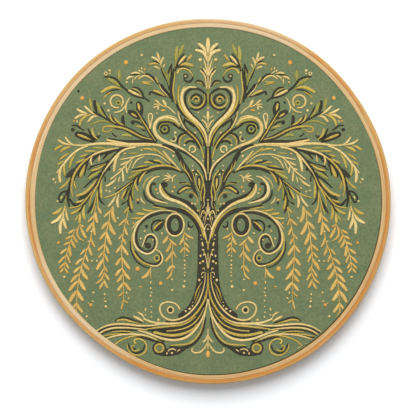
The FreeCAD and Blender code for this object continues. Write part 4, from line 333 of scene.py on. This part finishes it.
def make_materials():
    # each clay: ridge colour, edge colour (specks, smears and the painted shade at the foot), a
    # second body colour
    cream = srgb(240, 216, 150), srgb(184, 152, 82), srgb(228, 196, 120)
    gold = srgb(214, 186, 94), srgb(144, 120, 52), srgb(194, 166, 72)
    straw = srgb(230, 192, 112), srgb(164, 132, 62), srgb(212, 170, 84)
    olive = srgb(178, 168, 80), srgb(104, 98, 44), srgb(154, 148, 70)
    dark = srgb(46, 42, 28), srgb(30, 27, 18), srgb(60, 55, 36)
    orange = srgb(232, 176, 86), srgb(190, 136, 58), srgb(220, 160, 70)
    return {
        "cream_clay": clay_paint("cream_clay", *cream),
        "straw_clay": clay_paint("straw_clay", *straw),
        "gold_clay": clay_paint("gold_clay", *gold),
        "olive_clay": clay_paint("olive_clay", *olive),
        "dark_clay": clay_paint("dark_clay", *dark),
        "orange_clay": clay_paint("orange_clay", *orange),
        "outer_wood": bentwood(
            "outer_wood", pale=srgb(222, 190, 128), tan=srgb(210, 168, 98),
            streak=srgb(186, 134, 66), glue=srgb(198, 120, 26),
            line_at=4.5, line_width=2.1, line_share=0.85),
        "inner_wood": bentwood(
            "inner_wood", pale=srgb(230, 200, 148), tan=srgb(212, 174, 114),
            streak=srgb(188, 142, 84), glue=srgb(192, 124, 50),
            line_at=3.9, line_width=0.8, line_share=0.7),
        "green_clay": slab_clay(),
        "panel_ply": plywood(),
        "steel": metal("steel", srgb(176, 176, 174), srgb(128, 126, 122), 0.38),
        "plated_steel": metal("plated_steel", srgb(212, 178, 104), srgb(160, 128, 70), 0.3),
    }


# ---------------------------------------------------------------- pieces built here

def add_mesh(name, node, vertices, faces, material):
    """A smooth mesh that stands for one CAD node of the plaque."""
    mesh = bpy.data.meshes.new(name)
    mesh.from_pydata(vertices, [], faces)
    mesh.polygons.foreach_set("use_smooth", [True] * len(mesh.polygons))
    mesh.materials.append(material)
    piece = bpy.data.objects.new(name, mesh)
    bpy.context.collection.objects.link(piece)
    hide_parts(node)
    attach(piece, "plaque")
    return piece


# ---------------------------------------------------------------- clay relief

def front_faces(node):
    """The front faces of a node's solids: points (x, z) in mm, anticlockwise triangles, height."""
    mesh = frame["nodes"][node].data
    places = np.empty(len(mesh.vertices) * 3)
    mesh.vertices.foreach_get("co", places)
    places = places.reshape(-1, 3) * 1000
    mesh.calc_loop_triangles()
    corners = np.empty(len(mesh.loop_triangles) * 3, dtype=np.int64)
    mesh.loop_triangles.foreach_get("vertices", corners)
    corners = corners.reshape(-1, 3)
    front = places[:, 1].min()
    corners = corners[(places[corners][:, :, 1] < front + NEAR_FRONT).all(axis=1)]
    flat = places[:, [0, 2]]
    a, b, c = (flat[corners[:, i]] for i in range(3))
    ab, ac = b - a, c - a
    turned = ab[:, 0] * ac[:, 1] - ab[:, 1] * ac[:, 0] < 0
    corners[turned] = corners[turned][:, ::-1]
    return flat, corners, FACE * 1000 - front


def islands(corners):
    """The triangles grouped into pieces that share corners."""
    leader = {}

    def find(v):
        while leader.setdefault(v, v) != v:
            leader[v] = leader[leader[v]]
            v = leader[v]
        return v

    triangles = corners.tolist()
    for a, b, c in triangles:
        leader[find(a)] = find(b)
        leader[find(b)] = find(c)
    groups = {}
    for t in triangles:
        groups.setdefault(find(t[0]), []).append(t)
    return list(groups.values())


def outlines(triangles):
    """Closed loops of corners round a group of triangles, with the clay on their left."""
    edges = {(t[i], t[i - 2]) for t in triangles for i in range(3)}
    following = {a: b for a, b in edges if (b, a) not in edges}
    loops = []
    while following:
        start, corner = following.popitem()
        loop = [start]
        while corner != start:
            loop.append(corner)
            corner = following.pop(corner)
        loops.append(loop)
    return loops


def finer(loop):
    """A loop of points with its long edges divided."""
    steps = []
    for a, b in zip(loop, np.roll(loop, -1, axis=0)):
        parts = max(1, math.ceil(np.linalg.norm(b - a) / OUTLINE_STEP))
        steps += [a + (b - a) * i / parts for i in range(parts)]
    return np.array(steps)


def inward(loop):
    """Unit vectors into the clay at each point of a loop."""
    along = np.roll(loop, -1, axis=0) - np.roll(loop, 1, axis=0)
    along /= np.linalg.norm(along, axis=1, keepdims=True)
    return np.stack([-along[:, 1], along[:, 0]], axis=1)


def room_inside(points, inwards):
    """How far each outline point can move inward before another part of the outline is nearer."""
    gap = points[None, :, :] - points[:, None, :]
    ahead = (gap * inwards[:, None, :]).sum(axis=2)
    square = (gap ** 2).sum(axis=2)
    return np.where(ahead > 1e-4, square / np.maximum(2 * ahead, 1e-9), 1e9).min(axis=1)


def inner_points(points, inwards, room):
    """Points inside the outline and their distances to it, ring by ring, then the middle line."""
    round_edge = min(EDGE_ROUND, room.max())
    taken, kept, depths = set(), [], []
    rings = [np.full(len(points), round_edge * share) for share in RING_DEPTHS] + [room]
    for ring in rings:
        for point, into, depth, limit in zip(points, inwards, ring, room):
            if depth > limit + 1e-9 or (ring is not room and depth > RING_LIMIT * limit):
                continue
            place = point + into * depth
            spacing = max(FINEST_STEP, min(STEP_PER_DEPTH * depth, OUTLINE_STEP))
            cell = (round(place[0] / spacing), round(place[1] / spacing), round(spacing, 2))
            if cell in taken:
                continue
            taken.add(cell)
            kept.append(place)
            depths.append(depth)
    return kept, depths, round_edge


def covered(points, loops):
    """Which points lie inside the loops, by counting crossings."""
    inside = np.zeros(len(points), dtype=bool)
    for loop in loops:
        a, b = loop, np.roll(loop, -1, axis=0)
        for (x0, z0), (x1, z1) in zip(a, b):
            if z0 == z1:
                continue
            between = (z0 > points[:, 1]) != (z1 > points[:, 1])
            cross = (x1 - x0) * (points[:, 1] - z0) / (z1 - z0) + x0
            inside ^= between & (points[:, 0] < cross)
    return inside


def triangulate(loops, extra):
    """Corner places, the corner each given point became, and the triangles inside the loops."""
    points = [tuple(p) for loop in loops for p in loop] + [tuple(p) for p in extra]
    edges, start = [], 0
    for loop in loops:
        count = len(loop)
        edges += [(start + i, start + (i + 1) % count) for i in range(count)]
        start += count
    found = delaunay_2d_cdt([Vector(p) for p in points], edges, [], 0, 1e-5)
    places = np.array([tuple(v) for v in found[0]])
    triangles = np.array(found[2])
    became = {given: corner for corner, ids in enumerate(found[3]) for given in ids}
    return places, became, triangles[covered(places[triangles].mean(axis=1), loops)]


def pillow(loops, height, piece_tone):
    """Vertices, faces and tones of one rounded piece of clay."""
    loops = [finer(loop) for loop in loops]
    points = np.concatenate(loops)
    inwards = np.concatenate([inward(loop) for loop in loops])
    room = room_inside(points, inwards)
    extra, extra_depths, round_edge = inner_points(points, inwards, room)
    places, became, front = triangulate(loops, extra)
    depth = np.zeros(len(places))
    for given, corner in became.items():
        if given >= len(points):
            depth[corner] = extra_depths[given - len(points)]
    share = np.clip(depth / round_edge, 0, 1)
    swell = CROWN * (1 - np.exp(-np.maximum(depth - round_edge, 0)))
    rise = height * np.sqrt(1 - (1 - share) ** 2) + swell
    face = FACE * 1000
    # tones: the piece's random tone, and the share of the rounded edge, which sets the painted
    # shade at the foot
    vertices, tones = [], []
    for (x, z), up, part in zip(places, rise, share):
        wobble = 1 + HAND_WOBBLE * noise.noise((x * WOBBLE_PER_MM, z * WOBBLE_PER_MM, height * 9))
        vertices.append((x / 1000, (face - up * wobble) / 1000, z / 1000))
        tones.append((piece_tone, part, 0.0, 1.0))
    base = len(vertices)
    flat, under_became, under = triangulate(loops, [])
    for x, z in flat:
        vertices.append((x / 1000, (face + FOOT) / 1000, z / 1000))
        tones.append((piece_tone, 0.0, 0.0, 1.0))
    faces = [tuple(f) for f in front] + [tuple(base + v for v in f[::-1]) for f in under]
    start = 0
    for loop in loops:
        count = len(loop)
        for i in range(count):
            a, b = start + i, start + (i + 1) % count
            faces.append((became[b], became[a], base + under_became[a], base + under_became[b]))
        start += count
    return vertices, faces, tones


def relief(node, material):
    """One object with all pieces of a clay node, rounded."""
    chance = random.Random(node)
    flat, corners, height = front_faces(node)
    vertices, faces, tones = [], [], []
    for group in islands(corners):
        loops = [flat[loop] for loop in outlines(group)]
        v, f, t = pillow(loops, height, chance.random())
        faces += [tuple(len(vertices) + i for i in face) for face in f]
        vertices += v
        tones += t
    piece = add_mesh(node + "_relief", node, vertices, faces, material)
    shade = piece.data.color_attributes.new("tone", "FLOAT_COLOR", "POINT")
    shade.data.foreach_set("color", np.array(tones).ravel())


# ---------------------------------------------------------------- the hoop and the slab

# Where the hand-bent hoop strays from a true circle: (degrees, mm outward, degrees of spread)
HOOP_SWAY = ((34, -0.75, 11), (62, 0.6, 11), (130, 0.95, 18), (232, -3.0, 18), (301, 1.05, 14))
BORE_SWAY = ((175, -0.9, 12),)
TURN_STEPS = 480


def bulge(angle, bumps):
    """Metres outward that a ring strays at an angle in radians."""
    total = 0.0
    for place, size, spread in bumps:
        away = (math.degrees(angle) - place + 180) % 360 - 180
        total += size * math.exp(-away ** 2 / (2 * spread ** 2))
    return total / 1000


def tremble(angle, seed):
    """Metres outward of the fine unevenness along an edge."""
    place = TREMBLE_RATE * math.cos(angle), TREMBLE_RATE * math.sin(angle), seed
    return TREMBLE * noise.noise(place)


def rim_edge(angle):
    return RIM_RADIUS + bulge(angle, HOOP_SWAY) + tremble(angle, 1.0)


def seam_edge(angle):
    return SEAM_RADIUS + bulge(angle, HOOP_SWAY) + 2 * tremble(angle, 5.0)


def bore_edge(angle):
    return BORE_RADIUS + bulge(angle, HOOP_SWAY + BORE_SWAY) + tremble(angle, 9.0)


def slab_edge(angle):
    """The slab is tucked under the hoop, but has shrunk away from it a little at the crevice."""
    shrunk = max(0.0, math.cos(angle - math.radians(CREVICE_TURN)))
    return bore_edge(angle) + SLAB_TUCK - SLAB_SHRINK * shrunk


def swept(profile, edges):
    """A closed profile swept round the disc.

    The profile gives (edge number, metres outward from that edge, y), and the edges are functions
    of the angle.
    """
    vertices = []
    for i in range(TURN_STEPS):
        angle = 2 * math.pi * i / TURN_STEPS
        radii = [edge(angle) for edge in edges]
        for edge, outward, y in profile:
            radius = radii[edge] + outward
            vertices.append((radius * math.cos(angle), y, radius * math.sin(angle)))
    count = len(profile)
    faces = []
    for i in range(TURN_STEPS):
        here = i * count
        there = (i + 1) % TURN_STEPS * count
        for j in range(count):
            k = (j + 1) % count
            faces.append((here + j, here + k, there + k, there + j))
    return vertices, faces


def quarter(edge, outward, y, size, turn):
    """Points of a quarter round about (outward, y), from turn on, in degrees, 0 being outward."""
    points = []
    for step in range(ROUND_STEPS + 1):
        angle = math.radians(turn + 90 * step / ROUND_STEPS)
        points.append((edge, outward + size * math.cos(angle), y + size * math.sin(angle)))
    return points


def bent_ply(node, edges, front, inner_round, outer_round, material):
    """One wooden ply, swept in place of its CAD node.

    It carries how far across the hoop each point lies, as a share of the width.
    """
    profile = quarter(1, -PLY_BACK_ROUND, -PLY_BACK_ROUND, PLY_BACK_ROUND, 0)
    profile += quarter(0, PLY_BACK_ROUND, -PLY_BACK_ROUND, PLY_BACK_ROUND, 90)
    profile += quarter(0, inner_round, front + inner_round, inner_round, 180)
    profile += quarter(1, -outer_round, front + outer_round, outer_round, 270)
    vertices, faces = swept(profile, edges)
    piece = add_mesh(node + "_bent", node, vertices, faces, material)
    across = []
    for x, _, z in vertices:
        angle = math.atan2(z, x)
        low, high = bore_edge(angle), rim_edge(angle)
        across.append((math.hypot(x, z) - low) / (high - low))
    piece.data.attributes.new("across", "FLOAT", "POINT").data.foreach_set("value", across)


def make_hoop(materials):
    """Both plies; the inner one stands a little behind the outer one."""
    bent_ply("outer_hoop", (seam_edge, rim_edge), front=RIM_FRONT,
             inner_round=0.0004, outer_round=0.0013, material=materials["outer_wood"])
    bent_ply("inner_hoop", (bore_edge, seam_edge), front=RIM_FRONT + INNER_PLY_BACK,
             inner_round=0.0008, outer_round=0.0004, material=materials["inner_wood"])


def make_slab(material):
    """The clay slab, filled out to the hoop, in place of its CAD node.

    It carries how far in from its edge each point lies, as a share of the rounding.
    """
    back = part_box("clay_slab")[1][1]
    profile = [(0, -SLAB_ROUND, back), (0, 0.0, back)]
    profile += quarter(0, -SLAB_ROUND, FACE + SLAB_ROUND, SLAB_ROUND, 270)[::-1]
    vertices, faces = swept(profile, (slab_edge,))
    count = len(profile)
    faces = [face for i, face in enumerate(faces) if i % count != count - 1]
    faces.append(tuple(i * count for i in range(TURN_STEPS)))
    faces.append(tuple(i * count + count - 1 for i in reversed(range(TURN_STEPS))))
    piece = add_mesh("clay_slab_filled", "clay_slab", vertices, faces, material)
    inset = [-outward / SLAB_ROUND for _, outward, _ in profile] * TURN_STEPS
    piece.data.attributes.new("inset", "FLOAT", "POINT").data.foreach_set("value", inset)


# ---------------------------------------------------------------- pieces kept from the CAD

def dress(node, material, edge=0.0):
    """Gives a CAD node its material, and a softened edge where it has none of its own."""
    piece = frame["nodes"][node]
    piece.data.materials.clear()
    piece.data.materials.append(material)
    if edge:
        soft = piece.modifiers.new("edge", "BEVEL")
        soft.width = edge
        soft.segments = 2
        soft.limit_method = "ANGLE"
        soft.angle_limit = math.radians(SOFT_ANGLE)


# ---------------------------------------------------------------- stage

def plane(name, corners, material):
    """A flat stage piece with four corners."""
    mesh = bpy.data.meshes.new(name)
    mesh.from_pydata(corners, [], [(0, 1, 2, 3)])
    mesh.materials.append(material)
    made = bpy.data.objects.new(name, mesh)
    bpy.context.collection.objects.link(made)
    return made


def pale(name, one_way=False):
    """Plain pale paint. One way: seen from the front only, with a faint glow that lifts shadows."""
    s = Shader(name, roughness=0.9, specular=0.1)
    mottle = s.between(s.noise(3.0, 2.0), 0.3, 0.7)
    s.paint(s.mix(mottle, (0.93, 0.93, 0.93, 1), (0.95, 0.95, 0.95, 1)))
    if one_way:
        clear = s.node("ShaderNodeBsdfTransparent")
        side = s.node("ShaderNodeNewGeometry")
        pick = s.node("ShaderNodeMixShader")
        s.surface.inputs["Emission Color"].default_value = (0.72, 0.87, 1.0, 1.0)
        s.surface.inputs["Emission Strength"].default_value = 0.07
        s.link(side.outputs["Backfacing"], pick.inputs[0])
        s.link(s.surface.outputs[0], pick.inputs[1])
        s.link(clear.outputs[0], pick.inputs[2])
        s.link(pick.outputs[0], s.tree.nodes["Material Output"].inputs["Surface"])
    return s.material


def area_light(name, place, target, size, power):
    """A square lamp turned to its target."""
    light = bpy.data.lights.new(name, "AREA")
    light.size = size
    light.energy = power
    made = bpy.data.objects.new(name, light)
    made.location = place
    made.rotation_euler = (Vector(target) - Vector(place)).to_track_quat("-Z", "Y").to_euler()
    bpy.context.collection.objects.link(made)


def make_stage():
    """A white wall behind the plaque, a floor under it, soft lights and a pale room."""
    far, low, y = STAGE_REACH, FLOOR_HEIGHT, WALL_GAP
    wall = plane("wall", [(-far, y, low), (far, y, low), (far, y, far), (-far, y, far)],
                 pale("wall_paint", one_way=True))
    wall.visible_shadow = False
    floor = plane("floor", [(-far, -far, low), (far, -far, low), (far, far, low), (-far, far, low)],
                  pale("floor_paint"))
    floor.visible_diffuse = False
    area_light("key", (-0.06, -3.5, 2.08), (0, 0, 0), 2.7, 167.0)
    area_light("front", (0.0, -3.0, 0.3), (0, 0, 0), 2.0, 11.0)
    area_light("behind", (0.5, 2.2, 1.4), (0, 0, 0), 1.5, 46.0)
    world = bpy.data.worlds.new("room")
    world.use_nodes = True
    background = world.node_tree.nodes["Background"]
    background.inputs["Color"].default_value = (0.86, 0.95, 1.06, 1)
    background.inputs["Strength"].default_value = 0.23
    bpy.context.scene.world = world
    bpy.context.scene.view_settings.view_transform = "Standard"


def make_camera():
    """Straight in front of the disc, far off, framed as the photograph is."""
    camera = bpy.data.cameras.new("camera")
    camera.sensor_width = SENSOR_WIDTH
    camera.lens = SENSOR_WIDTH * VIEW_DISTANCE / VIEW_WIDTH
    made = bpy.data.objects.new("camera", camera)
    made.location = (VIEW_CENTRE[0], FACE - VIEW_DISTANCE, VIEW_CENTRE[1])
    made.rotation_euler = (math.radians(90), 0, 0)
    bpy.context.collection.objects.link(made)
    bpy.context.scene.camera = made


# ---------------------------------------------------------------- the object

materials = make_materials()
make_hoop(materials)
make_slab(materials["green_clay"])
for entry in frame["record"]["subparts"]:
    node, slot_name = entry["node"], entry["material_slot"]
    if slot_name in ("hoop_wood", "green_clay"):
        continue
    if slot_name.endswith("_clay"):
        relief(node, materials[slot_name])
    else:
        dress(node, materials[slot_name], SOFT_EDGES.get(node, 0.0))

make_stage()
make_camera()
